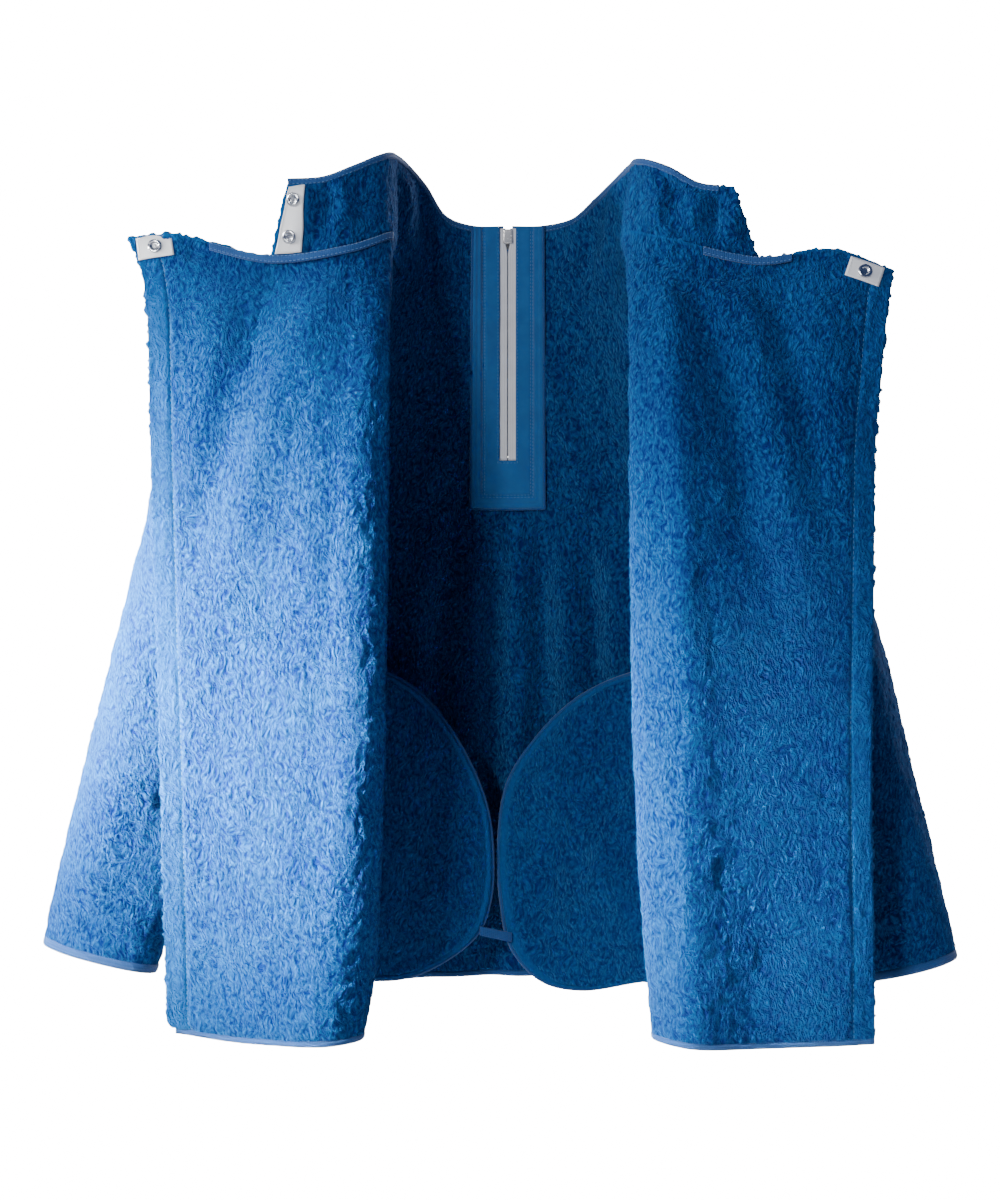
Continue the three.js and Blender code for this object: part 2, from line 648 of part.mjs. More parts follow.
// ---- Pockets ----
function addPocket(name) {
  const rows = evenly(0, 1, 11);
  const columns = evenly(0, 1, 4);
  for (const [layer, word] of [[-1, "inner"], [1, "outer"]]) {
    const wall = { across: columns, down: rows, point: pocketPoint(name, layer), thickness: sherpaWall };
    add(`pocket_${name}_${word}`, wallGeometry(wall), sherpaMaterial());
  }
  const edge = { across: [0, 1], down: rows, point: pocketEdgePoint(name), thickness: 6 };
  add("pocket_edge_" + name, wallGeometry(edge), bindingMaterial());
}

function addPocketStay() {
  const from = vec(-26, slingY(26) - 6.8, -621);
  const to = vec(4, slingY(4) - 6.8, -629);
  const point = (a, b) => from.clone().lerp(to, a).add(vec(-2.5 * b, 0, -9 * b));
  const stay = { across: [0, 0.5, 1], down: [0, 1], point, thickness: tapeWall, inset: 0 };
  add("pocket_stay", wallGeometry(stay), bindingMaterial());
}

// ---- Snaps and their tapes ----
// Where a panel's outer layer passes through (x, z), by closing in on u and v in turn.
function panelReading(name, x, z) {
  const halve = (low, high, isPast) => {
    for (let k = 0; k < 30; k++) {
      const middle = (low + high) / 2;
      if (isPast(middle)) high = middle;
      else low = middle;
    }
    return low;
  };
  let v = 0.05;
  let u = 0.9;
  for (let round = 0; round < 8; round++) {
    u = halve(4 / 7, 1, (w) => Math.abs(panelPoint(name, w, v).x) > Math.abs(x));
    v = halve(0, 0.3, (w) => panelPoint(name, u, w).z < z);
  }
  return [u, v];
}

// The twill patches: centre, size and tilt in the plane of the panel's top corner.
const patches = {
  left: { x: -306, z: 1.5, width: 31, height: 20, tilt: 9 },
  right: { x: 308, z: -20, width: 31, height: 18, tilt: -20 },
};
function patchPoint(name) {
  const { x, z, width, height, tilt } = patches[name];
  const lean = THREE.MathUtils.degToRad(tilt);
  return (s, t) => {
    const out = (s - 0.5) * width;
    const up = (0.5 - t) * height;
    const atX = x + out * Math.cos(lean) - up * Math.sin(lean);
    const atZ = z + out * Math.sin(lean) + up * Math.cos(lean);
    return panelPoint(name, ...panelReading(name, atX, atZ));
  };
}
function addCornerPatch(name) {
  const point = patchPoint(name);
  const patch = {
    across: evenly(0, 1, 2), down: evenly(0, 1, 2), point, thickness: twillWall, inset: 0,
    offset: onInside(twillWall),
  };
  add("corner_patch_" + name, wallGeometry(patch), tapeMaterial());
  return point;
}

function addCollarTape() {
  const point = (t, height) => collarPoint("left", t, height);
  const tape = {
    across: [0.94, 0.966, 0.992], down: evenly(0.02, 0.91, 3), point, thickness: twillWall, inset: 0,
    offset: onInside(twillWall), facing: 1,
  };
  add("collar_snap_tape", wallGeometry(tape), tapeMaterial());
}

const snapRadius = 6.2;
const snapHeight = 2.4;
function snapGeometry(stud) {
  const profile = stud
    ? [[0, 0], [snapRadius, 0], [snapRadius, 0.8], [2.6, 1], [2.6, snapHeight], [0, snapHeight]]
    : [[0, 0], [snapRadius, 0], [snapRadius, 1.5], [5, 1.9], [3.2, 1.9], [2.6, 0.7], [0, 0.7]];
  return new THREE.LatheGeometry(profile.map(([r, h]) => new THREE.Vector2(r, h)), 12);
}
// A snap stands on a surface at (u, v), lifted off it along its face.
function addSnap(name, point, u, v, lift, side, stud) {
  const normal = normalOf(point, u, v, [-1, 2], [-1, 2]).multiplyScalar(side);
  const mesh = add(name, snapGeometry(stud), snapMaterial());
  mesh.quaternion.setFromUnitVectors(vec(0, 1, 0), normal);
  mesh.position.copy(point(u, v)).addScaledVector(normal, lift);
}

const cornerLift = 0.8; // the panels' corners curve under the snaps' flat backs
function addSnaps() {
  const onCloth = sherpaWall / 2 + layerGap + facetEase;
  const onTwill = onCloth + twillWall + layerGap + 0.4;
  const leftCollar = (t, h) => collarPoint("left", t, h);
  const rightCollar = (t, h) => collarPoint("right", t, h);
  addSnap("snap_collar_upper", leftCollar, 0.966, 0.74, onTwill, -1, false);
  addSnap("snap_collar_lower", leftCollar, 0.966, 0.24, onTwill, -1, false);
  addSnap("mate_collar_upper", rightCollar, 0.94, 0.74, onCloth, -1, true);
  addSnap("mate_collar_lower", rightCollar, 0.94, 0.24, onCloth, -1, true);
  for (const name of Object.keys(sides)) {
    const point = addCornerPatch(name);
    addSnap("snap_corner_" + name, point, 0.5, 0.5, onTwill + cornerLift, -1, false);
    addSnap("mate_shoulder_" + name, frontPoint, sides[name] * 0.62, 0.07, onCloth, 1, true);
  }
}

addFront();
for (const name of Object.keys(sides)) {
  addBackPanel(name);
  addSleeve(name);
  addCollar(name);
  addTape(name);
  addPocket(name);
}
addFacing();
addChain();
addSlider();
addPull();
placeSlider();
addPocketStay();
addCollarTape();
addSnaps();

export default garment;
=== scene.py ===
import bpy
import numpy as np
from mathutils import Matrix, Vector


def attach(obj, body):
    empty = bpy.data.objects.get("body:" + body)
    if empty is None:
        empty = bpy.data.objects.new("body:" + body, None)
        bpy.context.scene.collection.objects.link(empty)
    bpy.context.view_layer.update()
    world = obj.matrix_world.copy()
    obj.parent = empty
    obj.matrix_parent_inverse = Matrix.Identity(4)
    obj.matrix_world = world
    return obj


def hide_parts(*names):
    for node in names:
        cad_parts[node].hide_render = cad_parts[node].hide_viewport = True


# Sherpa pullover with a quarter zip, its open back's panels folded outwards over the sleeves.
# Shapes are worked out in millimetres and put into the meshes in metres.
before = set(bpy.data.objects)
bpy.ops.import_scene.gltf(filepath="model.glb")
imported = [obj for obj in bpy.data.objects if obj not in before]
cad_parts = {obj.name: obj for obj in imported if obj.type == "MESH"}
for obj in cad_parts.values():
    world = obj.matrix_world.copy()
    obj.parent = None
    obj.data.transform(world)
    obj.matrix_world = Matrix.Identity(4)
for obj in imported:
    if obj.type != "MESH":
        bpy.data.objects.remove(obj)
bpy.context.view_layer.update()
sides = {"left": -1, "right": 1}
print("frame loaded")

# camera, light and floor
view = {"target": (-0.0072, 0.0, -0.311), "distance": 2.6, "pitch": 5.0, "lens": 104.05}


def setCamera(view):
    data = bpy.data.cameras.new("camera")
    data.lens = view["lens"]
    data.sensor_fit = "HORIZONTAL"
    data.sensor_width = 36
    camera = bpy.data.objects.new("camera", data)
    pitch = np.radians(view["pitch"])
    back = np.array([0, -np.cos(pitch), np.sin(pitch)]) * view["distance"]
    camera.location = Vector(np.array(view["target"]) + back)
    camera.rotation_euler = (np.radians(90) - pitch, 0, 0)
    bpy.context.scene.collection.objects.link(camera)
    bpy.context.scene.camera = camera


lights = {
    "key": {"place": (-3.15, -1.7, 0.8), "aim": (-0.34, -0.1, -0.36), "size": 0.3, "power": 15, "spread": 10},
    "side": {"place": (-3.4, -1.0, 0.5), "aim": (0, 0, -0.3), "size": 0.6, "power": 150},
    "front": {"place": (-1.3, -3.2, 0.8), "aim": (0, 0, -0.3), "size": 0.5, "power": 90},
    "top": {"place": (-0.4, 0.6, 2.6), "aim": (0, 0, -0.3), "size": 1.8, "power": 10},
    "rim": {"place": (1.8, 2.6, 1.0), "aim": (0, 0, -0.3), "size": 1.6, "power": 130},
}
room = {
    "backdrop": 20.0, "glow": 0.15, "glowColour": (0.14, 0.34, 1, 1),
    "floorLevel": -0.86, "floorSize": 3.0, "floorColour": (0.7, 0.7, 0.7, 1), "floorRough": 0.9,
}


def addLight(name, light):
    data = bpy.data.lights.new(name, "AREA")
    data.size = light["size"]
    data.energy = light["power"]
    data.spread = np.radians(light.get("spread", 180))
    lamp = bpy.data.objects.new(name, data)
    lamp.location = light["place"]
    towards = Vector(light["aim"]) - Vector(light["place"])
    lamp.rotation_euler = towards.to_track_quat("-Z", "Y").to_euler()
    bpy.context.scene.collection.objects.link(lamp)


def setRoom(room):
    # what the camera sees past the object is white, and what lights the object is a faint blue
    world = bpy.data.worlds.new("studio")
    bpy.context.scene.world = world
    world.use_nodes = True
    nodes, links = world.node_tree.nodes, world.node_tree.links
    nodes.clear()
    path = nodes.new("ShaderNodeLightPath")
    seen = nodes.new("ShaderNodeBackground")
    seen.inputs["Strength"].default_value = room["backdrop"]
    seen.inputs["Color"].default_value = (1, 1, 1, 1)
    lit = nodes.new("ShaderNodeBackground")
    lit.inputs["Strength"].default_value = room["glow"]
    lit.inputs["Color"].default_value = room["glowColour"]
    blend = nodes.new("ShaderNodeMixShader")
    out = nodes.new("ShaderNodeOutputWorld")
    links.new(path.outputs["Is Camera Ray"], blend.inputs[0])
    links.new(lit.outputs[0], blend.inputs[1])
    links.new(seen.outputs[0], blend.inputs[2])
    links.new(blend.outputs[0], out.inputs[0])
    half, level = room["floorSize"] / 2, room["floorLevel"]
    mesh = bpy.data.meshes.new("floor")
    corners = [(-half, -half, level), (half, -half, level), (half, half, level), (-half, half, level)]
    mesh.from_pydata(corners, [], [(0, 1, 2, 3)])
    floor = bpy.data.objects.new("floor", mesh)
    paint = bpy.data.materials.new("pale floor")
    paint.use_nodes = True
    nodes, links = paint.node_tree.nodes, paint.node_tree.links
    shader = nodes["Principled BSDF"]
    shader.inputs["Base Color"].default_value = room["floorColour"]
    shader.inputs["Roughness"].default_value = room["floorRough"]
    path = nodes.new("ShaderNodeLightPath")
    glow = nodes.new("ShaderNodeMath")
    glow.operation = "MULTIPLY"
    glow.inputs[1].default_value = room["backdrop"]
    links.new(path.outputs["Is Camera Ray"], glow.inputs[0])
    links.new(glow.outputs[0], shader.inputs["Emission Strength"])
    shader.inputs["Emission Color"].default_value = (1, 1, 1, 1)
    mesh.materials.append(paint)
    bpy.context.scene.collection.objects.link(floor)


setCamera(view)
for name, light in lights.items():
    addLight(name, light)
setRoom(room)
print("camera and lights set")


# sums on arrays, shared by every piece
def mix(a, b, t):
    return a + (b - a) * t


def point(x, y, z):
    return np.stack(np.broadcast_arrays(x, y, z), axis=-1).astype(float)


def unit(a):
    return a / np.maximum(np.linalg.norm(a, axis=-1, keepdims=True), 1e-9)


def bump(x, centre, width):
    # a soft hill: e to the minus square of the distance over the width
    return np.exp(-(((x - centre) / width) ** 2))


def fade(x, start, end):
    # 0 before start, 1 past end, level at both
    t = np.clip((x - start) / (end - start), 0, 1)
    return t * t * (3 - 2 * t)


def atLevel(pairs, level):
    # a smooth reading of [level, value] pairs, highest first: a cubic between each two, with a slope
    # at each pair of one over the mean of its two stretches' inverse slopes, or level where they differ
    levels, values = np.array(pairs, float).T
    x = -np.asarray(level, float)
    knots = -levels
    steep = np.diff(values) / np.diff(knots)
    same = steep[1:] * steep[:-1] > 0
    slopes = np.concatenate([steep[:1], np.zeros(len(steep) - 1), steep[-1:]])
    slopes[1:-1][same] = 2 / (1 / steep[1:][same] + 1 / steep[:-1][same])
    i = np.clip(np.searchsorted(knots, x) - 1, 0, len(knots) - 2)
    width = knots[i + 1] - knots[i]
    t = np.clip((x - knots[i]) / width, 0, 1)
    rise = values[i + 1] - values[i]
    a = slopes[i] * width
    b = slopes[i + 1] * width
    return values[i] + a * t + (3 * rise - 2 * a - b) * t**2 + (a + b - 2 * rise) * t**3


def alongCurve(points, t):
    # a curve through points (rows, n, 3), read at t (rows, m) from 0 to 1: each stretch is a
    # cubic whose end slopes weigh the neighbours by the square roots of their distances
    ends = np.concatenate(
        [2 * points[:, :1] - points[:, 1:2], points, 2 * points[:, -1:] - points[:, -2:-1]], axis=1
    )
    n = points.shape[1]
    place = np.clip(t, 0, 1) * (n - 1)
    i = np.minimum(np.floor(place).astype(int), n - 2)
    w = (place - i)[..., None]
    row = np.arange(points.shape[0])[:, None]
    p = [ends[row, i + k] for k in range(4)]
    gaps = [np.linalg.norm(p[k + 1] - p[k], axis=-1, keepdims=True) for k in range(3)]
    d = [np.maximum(gap, 1e-6) ** 0.5 for gap in gaps]
    start = ((p[1] - p[0]) / d[0] - (p[2] - p[0]) / (d[0] + d[1]) + (p[2] - p[1]) / d[1]) * d[1]
    stop = ((p[2] - p[1]) / d[1] - (p[3] - p[1]) / (d[1] + d[2]) + (p[3] - p[2]) / d[2]) * d[1]
    return (
        p[1] + start * w + (3 * (p[2] - p[1]) - 2 * start - stop) * w**2
        + (2 * (p[1] - p[2]) + start + stop) * w**3
    )


def curve(points, t):
    return alongCurve(np.array(points, float)[None], np.asarray(t, float)[None])[0]


def latticeValue(i, j, k, seed):
    # a fixed value from -1 to 1 for each corner: its three numbers and the seed, each times a large
    # odd number, summed, and then folded and multiplied once more
    h = (i * 374761393 + j * 668265263 + k * 2147483629 + seed * 69069) & 0xFFFFFFFF
    h = ((h ^ (h >> 13)) * 1274126177) & 0xFFFFFFFF
    return ((h ^ (h >> 16)) & 0xFFFF) / 32767.5 - 1


def noise(p, seed=0):
    # smooth noise from -1 to 1: fixed values on a unit lattice, blended between its corners
    cell = np.floor(p).astype(np.int64)
    f = p - cell
    f = f * f * (3 - 2 * f)
    total = 0
    for a in (0, 1):
        for b in (0, 1):
            for c in (0, 1):
                weight = 1
                for axis, corner in enumerate((a, b, c)):
                    weight = weight * (f[..., axis] if corner else 1 - f[..., axis])
                total = total + weight * latticeValue(
                    cell[..., 0] + a, cell[..., 1] + b, cell[..., 2] + c, seed
                )
    return total


def quadsAt(r, c, columns, rows=None):
    # the four points round each grid cell (r, c), numbered row by row and wrapping past the last ones
    right = (c + 1) % columns
    below = r + 1 if rows is None else (r + 1) % rows
    return np.stack([r * columns + c, r * columns + right, below * columns + right, below * columns + c], 1)


def gridQuads(rows, columns, *, ringRows=False, ringColumns=False, turned=False):
    # every cell of a grid, closed to a ring where that is asked; turned faces the other way
    r, c = np.indices((rows if ringRows else rows - 1, columns if ringColumns else columns - 1)).reshape(2, -1)
    quads = quadsAt(r, c, columns, rows)
    return quads[:, [0, 3, 2, 1]] if turned else quads


def runAlong(path):
    # how far along a path each of its points lies
    return np.concatenate([[0], np.cumsum(np.linalg.norm(np.diff(path, axis=0), axis=1))])


def readAlong(at, along, values):
    # values (n, 3) read at distances along their path
    return np.stack([np.interp(at, along, values[:, k]) for k in range(3)], 1)


def gridNormals(grid, ring=False):
    # across the grid's columns times down its rows
    if ring:
        wide = np.concatenate([grid[:, -1:], grid, grid[:, :1]], axis=1)
        across = np.gradient(wide, axis=1)[:, 1:-1]
    else:
        across = np.gradient(grid, axis=1)
    return unit(np.cross(across, np.gradient(grid, axis=0)))


# shader groups, shared by the cloth and the metal
def newGroup(name, inputs, outputs):
    group = bpy.data.node_groups.new(name, "ShaderNodeTree")
    for label, kind, value in inputs:
        socket = group.interface.new_socket(name=label, in_out="INPUT", socket_type="NodeSocket" + kind)
        if value is not None:
            socket.default_value = value
    for label, kind in outputs:
        group.interface.new_socket(name=label, in_out="OUTPUT", socket_type="NodeSocket" + kind)
    return group, group.nodes.new("NodeGroupInput"), group.nodes.new("NodeGroupOutput")


def node(tree, kind, settings=None, **inputs):
    # a node with its settings and inputs; i0, i1 and so on name an input by its number
    made = tree.nodes.new("ShaderNode" + kind)
    for key, value in (settings or {}).items():
        setattr(made, key, value)
    for label, value in inputs.items():
        numbered = label[0] == "i" and label[1:].isdigit()
        socket = made.inputs[int(label[1:]) if numbered else label]
        if isinstance(value, bpy.types.NodeSocket):
            tree.links.new(value, socket)
        else:
            socket.default_value = value
    return made


def math(tree, operation, a, b=0.0, c=0.0):
    return node(tree, "Math", {"operation": operation}, i0=a, i1=b, i2=c).outputs[0]


def tint(tree, amount, low, high):
    # a colour from low to high by amount
    made = node(tree, "Mix", {"data_type": "RGBA"}, i0=amount, i6=low, i7=high)
    return made.outputs[2]


def makePileGroup():
    # curly pile: long noise cells bent by a second noise, deep between the tufts; the colour darkens with depth,
    # painted shade between the tufts, and is the pile's own colour at the tips
    group, given, out = newGroup(
        "curly pile",
        [("Place", "Vector", None), ("Nap", "Float", 1.0), ("Root", "Color", None), ("Tip", "Color", None)],
        [("Color", "Color"), ("Height", "Float"), ("Roughness", "Float")],
    )
    place = given.outputs["Place"]
    drift = node(group, "TexNoise", Vector=place, Scale=42.0, Detail=2.0)
    bent = node(group, "VectorMath", {"operation": "SCALE"}, i0=drift.outputs["Color"], Scale=0.018)
    moved = node(group, "VectorMath", {"operation": "ADD"}, i0=place, i1=bent.outputs[0])
    lean = node(group, "Mapping", Vector=moved.outputs[0], Rotation=(0.0, 0.42, 0.3), Scale=(1.0, 1.0, 0.5))
    tufts = node(group, "TexNoise", Vector=lean.outputs[0], Scale=380.0, Detail=3.0, Roughness=0.6,
                 Distortion=0.8)
    curls = node(group, "TexVoronoi", {"feature": "SMOOTH_F1"}, Vector=lean.outputs[0], Scale=470.0)
    body = math(group, "MULTIPLY_ADD", curls.outputs["Distance"], -0.75, 0.62)
    height = math(group, "MULTIPLY_ADD", tufts.outputs["Fac"], 1.25, math(group, "SUBTRACT", body, 0.42))
    patches = node(group, "TexNoise", Vector=place, Scale=17.0, Detail=2.0)
    # lower pile gets the darker root colour: painted shade between the tufts
    light = node(group, "MapRange", Value=height, i1=0.28, i2=0.98).outputs[0]
    tone = math(group, "MULTIPLY_ADD", patches.outputs["Fac"], 0.36, -0.18)
    amount = math(group, "ADD", light, tone)
    calm = math(group, "MULTIPLY_ADD", given.outputs["Nap"], math(group, "SUBTRACT", amount, 0.62), 0.62)
    shade = node(group, "Clamp", Value=calm).outputs[0]
    group.links.new(tint(group, shade, given.outputs["Root"], given.outputs["Tip"]), out.inputs["Color"])
    raised = math(group, "MULTIPLY", height, math(group, "MULTIPLY_ADD", given.outputs["Nap"], 0.85, 0.15))
    group.links.new(raised, out.inputs["Height"])
    group.links.new(math(group, "MULTIPLY_ADD", shade, -0.12, 0.95), out.inputs["Roughness"])
    return group


def makeKnitGroup():
    # fine knit or weave on the piece's own map, in metres: wales along and courses across
    group, given, out = newGroup(
        "fine knit",
        [("Place", "Vector", None), ("Wales", "Float", 900.0), ("Courses", "Float", 900.0),
         ("Low", "Color", None), ("High", "Color", None), ("Slant", "Float", 0.0)],
        [("Color", "Color"), ("Height", "Float")],
    )
    parts = node(group, "SeparateXYZ", Vector=given.outputs["Place"])
    across = math(group, "MULTIPLY", parts.outputs["X"], given.outputs["Wales"])
    down = math(group, "MULTIPLY", parts.outputs["Y"], given.outputs["Courses"])
    slanted = math(group, "MULTIPLY_ADD", across, given.outputs["Slant"], down)
    wale = math(group, "ABSOLUTE", math(group, "SINE", math(group, "MULTIPLY", across, 3.1416)))
    course = math(group, "ABSOLUTE", math(group, "SINE", math(group, "MULTIPLY", slanted, 3.1416)))
    woven = math(group, "MULTIPLY", math(group, "POWER", wale, 0.6), math(group, "POWER", course, 0.6))
    cloud = node(group, "TexNoise", Vector=given.outputs["Place"], Scale=65.0, Detail=4.0)
    weave = math(group, "MULTIPLY_ADD", woven, 0.5, -0.2)
    amount = math(group, "MULTIPLY_ADD", cloud.outputs["Fac"], 0.8, weave)
    shade = node(group, "Clamp", Value=amount).outputs[0]
    group.links.new(tint(group, shade, given.outputs["Low"], given.outputs["High"]), out.inputs["Color"])
    group.links.new(woven, out.inputs["Height"])
    return group


def makeWearGroup():
    # metal: cloudy plating and fine scratches
    group, given, out = newGroup(
        "plating", [("Place", "Vector", None), ("Dull", "Color", None), ("Bright", "Color", None)],
        [("Color", "Color"), ("Roughness", "Float"), ("Height", "Float")],
    )
    cloud = node(group, "TexNoise", Vector=given.outputs["Place"], Scale=420.0, Detail=4.0)
    long = node(group, "Mapping", Vector=given.outputs["Place"], Rotation=(0.5, 0.3, 0.2),
                Scale=(1.0, 9.0, 1.0))
    scratch = node(group, "TexNoise", Vector=long.outputs[0], Scale=900.0, Detail=2.0)
    group.links.new(
        tint(group, cloud.outputs["Fac"], given.outputs["Dull"], given.outputs["Bright"]), out.inputs["Color"]
    )
    group.links.new(math(group, "MULTIPLY_ADD", cloud.outputs["Fac"], 0.22, 0.14), out.inputs["Roughness"])
    group.links.new(scratch.outputs["Fac"], out.inputs["Height"])
    return group


pileGroup = makePileGroup()
knitGroup = makeKnitGroup()
wearGroup = makeWearGroup()


def startMaterial(name, group, place):
    material = bpy.data.materials.new(name)
    material.use_nodes = True
    tree = material.node_tree
    shader = tree.nodes["Principled BSDF"]
    effect = tree.nodes.new("ShaderNodeGroup")
    effect.node_tree = group
    tree.links.new(place(tree), effect.inputs["Place"])
    tree.links.new(effect.outputs["Color"], shader.inputs["Base Color"])
    return material, tree, shader, effect


def objectPlace(tree):
    return tree.nodes.new("ShaderNodeTexCoord").outputs["Object"]


def ownMap(tree):
    return tree.nodes.new("ShaderNodeTexCoord").outputs["UV"]


def addBump(tree, shader, height, distance, strength=1.0):
    made = node(tree, "Bump", Height=height, Distance=distance, Strength=strength)
    tree.links.new(made.outputs["Normal"], shader.inputs["Normal"])


# root is a painted shade, the colour deep between the tufts; tip is the pile's own colour
pileLook = {
    "root": (0.0002, 0.011, 0.1, 1), "tip": (0.006, 0.115, 0.32, 1), "depth": 0.0036,
    "sheen": 0.3, "sheenRough": 0.42, "sheenTint": (0.12, 0.45, 1, 1), "specular": 0.08,
}


def makePileMaterial(name, look):
    material, tree, shader, effect = startMaterial(name, pileGroup, objectPlace)
    effect.inputs["Root"].default_value = look["root"]
    effect.inputs["Tip"].default_value = look["tip"]
    nap = node(tree, "Attribute", {"attribute_name": "nap"})
    tree.links.new(nap.outputs["Fac"], effect.inputs["Nap"])
    tree.links.new(effect.outputs["Roughness"], shader.inputs["Roughness"])
    shader.inputs["Sheen Weight"].default_value = look["sheen"]
    shader.inputs["Sheen Roughness"].default_value = look["sheenRough"]
    shader.inputs["Sheen Tint"].default_value = look["sheenTint"]
    shader.inputs["Specular IOR Level"].default_value = look["specular"]
    addBump(tree, shader, effect.outputs["Height"], look["depth"])
    return material


knitLooks = {
    # the binding's own blue, darkened by a quarter as painted shade for the shading its flat slab lacks
    "binding knit": {
        "low": (0.003, 0.036, 0.15, 1), "high": (0.012, 0.085, 0.26, 1),
        "wales": 520, "courses": 700, "slant": 0.0, "sheen": 0.25, "depth": 0.00025,
    },
    "smooth facing": {
        "low": (0.004, 0.07, 0.23, 1), "high": (0.012, 0.14, 0.38, 1),
        "wales": 900, "courses": 900, "slant": 0.0, "sheen": 0.3, "depth": 0.00018,
    },
    "herringbone tape": {
        "low": (0.6, 0.6, 0.61, 1), "high": (0.84, 0.84, 0.85, 1),
        "wales": 420, "courses": 760, "slant": 1.0, "sheen": 0.1, "depth": 0.00022,
    },
    "snap twill": {
        "low": (0.66, 0.66, 0.67, 1), "high": (0.86, 0.86, 0.86, 1),
        "wales": 1100, "courses": 1300, "slant": 0.6, "sheen": 0.1, "depth": 0.00015,
    },
    "blue coil": {
        "low": (0.02, 0.09, 0.26, 1), "high": (0.05, 0.17, 0.4, 1),
        "wales": 300, "courses": 300, "slant": 0.0, "sheen": 0.0, "depth": 0.00005,
    },
    "blue thread": {
        "low": (0.02, 0.1, 0.3, 1), "high": (0.07, 0.24, 0.5, 1),
        "wales": 2500, "courses": 2500, "slant": 1.0, "sheen": 0.3, "depth": 0.0001,
    },
    "white thread": {
        "low": (0.7, 0.7, 0.7, 1), "high": (0.88, 0.88, 0.88, 1),
        "wales": 2500, "courses": 2500, "slant": 1.0, "sheen": 0.2, "depth": 0.0001,
    },
}
knitFinish = {"rough": 0.78, "specular": 0.25}


def makeKnitMaterial(name, look):
    material, tree, shader, effect = startMaterial(name, knitGroup, ownMap)
    for label in ("Low", "High", "Wales", "Courses", "Slant"):
        effect.inputs[label].default_value = look[label.lower()]
    shader.inputs["Roughness"].default_value = knitFinish["rough"]
    shader.inputs["Sheen Weight"].default_value = look["sheen"]
    shader.inputs["Specular IOR Level"].default_value = knitFinish["specular"]
    addBump(tree, shader, effect.outputs["Height"], look["depth"])
    return material


metalLooks = {
    "snap nickel": {"dull": (0.42, 0.43, 0.45, 1), "bright": (0.78, 0.79, 0.8, 1), "metallic": 1.0},
    "painted slider": {"dull": (0.6, 0.58, 0.54, 1), "bright": (0.82, 0.8, 0.76, 1), "metallic": 0.6},
}
scratchDepth = 0.00003


def makeMetalMaterial(name, look):
    material, tree, shader, effect = startMaterial(name, wearGroup, objectPlace)
    effect.inputs["Dull"].default_value = look["dull"]
    effect.inputs["Bright"].default_value = look["bright"]
    tree.links.new(effect.outputs["Roughness"], shader.inputs["Roughness"])
    shader.inputs["Metallic"].default_value = look["metallic"]
    addBump(tree, shader, effect.outputs["Height"], scratchDepth)
    return material


sherpa = makePileMaterial("curly sherpa", pileLook)
cloths = {name: makeKnitMaterial(name, look) for name, look in knitLooks.items()}
metals = {name: makeMetalMaterial(name, look) for name, look in metalLooks.items()}
print("materials made")


# meshes, put together from arrays of points and faces
def finishPiece(name, points, faces, material, replaced=(), body="garment", uv=None, nap=None):
    # faces is a list of (n, 3) and (n, 4) arrays of point numbers
    mesh = bpy.data.meshes.new(name)
    used = np.unique(np.concatenate([f.ravel() for f in faces]))
    renumber = np.zeros(len(points), int)
    renumber[used] = np.arange(len(used))
    faces = [renumber[f] for f in faces if len(f)]
    sizes = np.concatenate([np.full(len(f), f.shape[1]) for f in faces])
    corners = np.concatenate([f.ravel() for f in faces])
    mesh.vertices.add(len(used))
    mesh.vertices.foreach_set("co", (points[used] / 1000).astype(np.float32).ravel())
    mesh.loops.add(len(corners))
    mesh.loops.foreach_set("vertex_index", corners.astype(np.int32))
    mesh.polygons.add(len(sizes))
    mesh.polygons.foreach_set("loop_start", np.concatenate([[0], np.cumsum(sizes)[:-1]]).astype(np.int32))
    mesh.polygons.foreach_set("loop_total", sizes.astype(np.int32))
    mesh.update(calc_edges=True)
    mesh.validate()
    mesh.polygons.foreach_set("use_smooth", np.ones(len(mesh.polygons), bool))
    if uv is not None:
        layer = mesh.uv_layers.new(name="cloth")
        layer.data.foreach_set("uv", (uv[used][corners] / 1000).astype(np.float32).ravel())
    if nap is not None:
        layer = mesh.attributes.new("nap", "FLOAT", "POINT")
        layer.data.foreach_set("value", nap[used].astype(np.float32))
    mesh.materials.append(material)
    piece = bpy.data.objects.new(name, mesh)
    bpy.context.scene.collection.objects.link(piece)
    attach(piece, body)
    if replaced:
        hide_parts(*replaced)
    return piece


tufts = {"across": 4.6, "along": 7.5, "height": 1.25, "clump": 17.0, "clumpHeight": 0.8, "wall": 4.0}
pileSeeds = {
    "back_left": 11, "back_right": 23, "front": 31, "sleeve_left": 41, "sleeve_right": 53,
    "collar_left": 61, "collar_right": 73, "pocket_outer": 83, "pocket_inner": 89,
}
fringes = {  # how far the pile stands out past a cut edge
    "back_left": 2.6, "back_right": 2.6, "front": 1.0, "sleeve_left": 1.0, "sleeve_right": 1.0,
    "collar_left": 1.3, "collar_right": 2.6, "pocket": 0.5,
}


def tuftHeight(p, seed):
    # pile in leaning clumps: two noises stretched down the cloth, and a broad slow one
    lean = p + point(p[..., 2] * 0.3, 0, 0)
    shape = np.array([tufts["across"], tufts["across"], tufts["along"]])
    warp = noise(p / 26.0, seed + 5)[..., None] * 1.2
    small = noise(lean / shape + warp, seed)
    smaller = noise(lean / (shape * 0.55) + warp, seed + 1)
    broad = noise(p / tufts["clump"], seed + 2)
    return (0.65 * small + 0.45 * smaller) * tufts["height"] + broad * tufts["clumpHeight"]


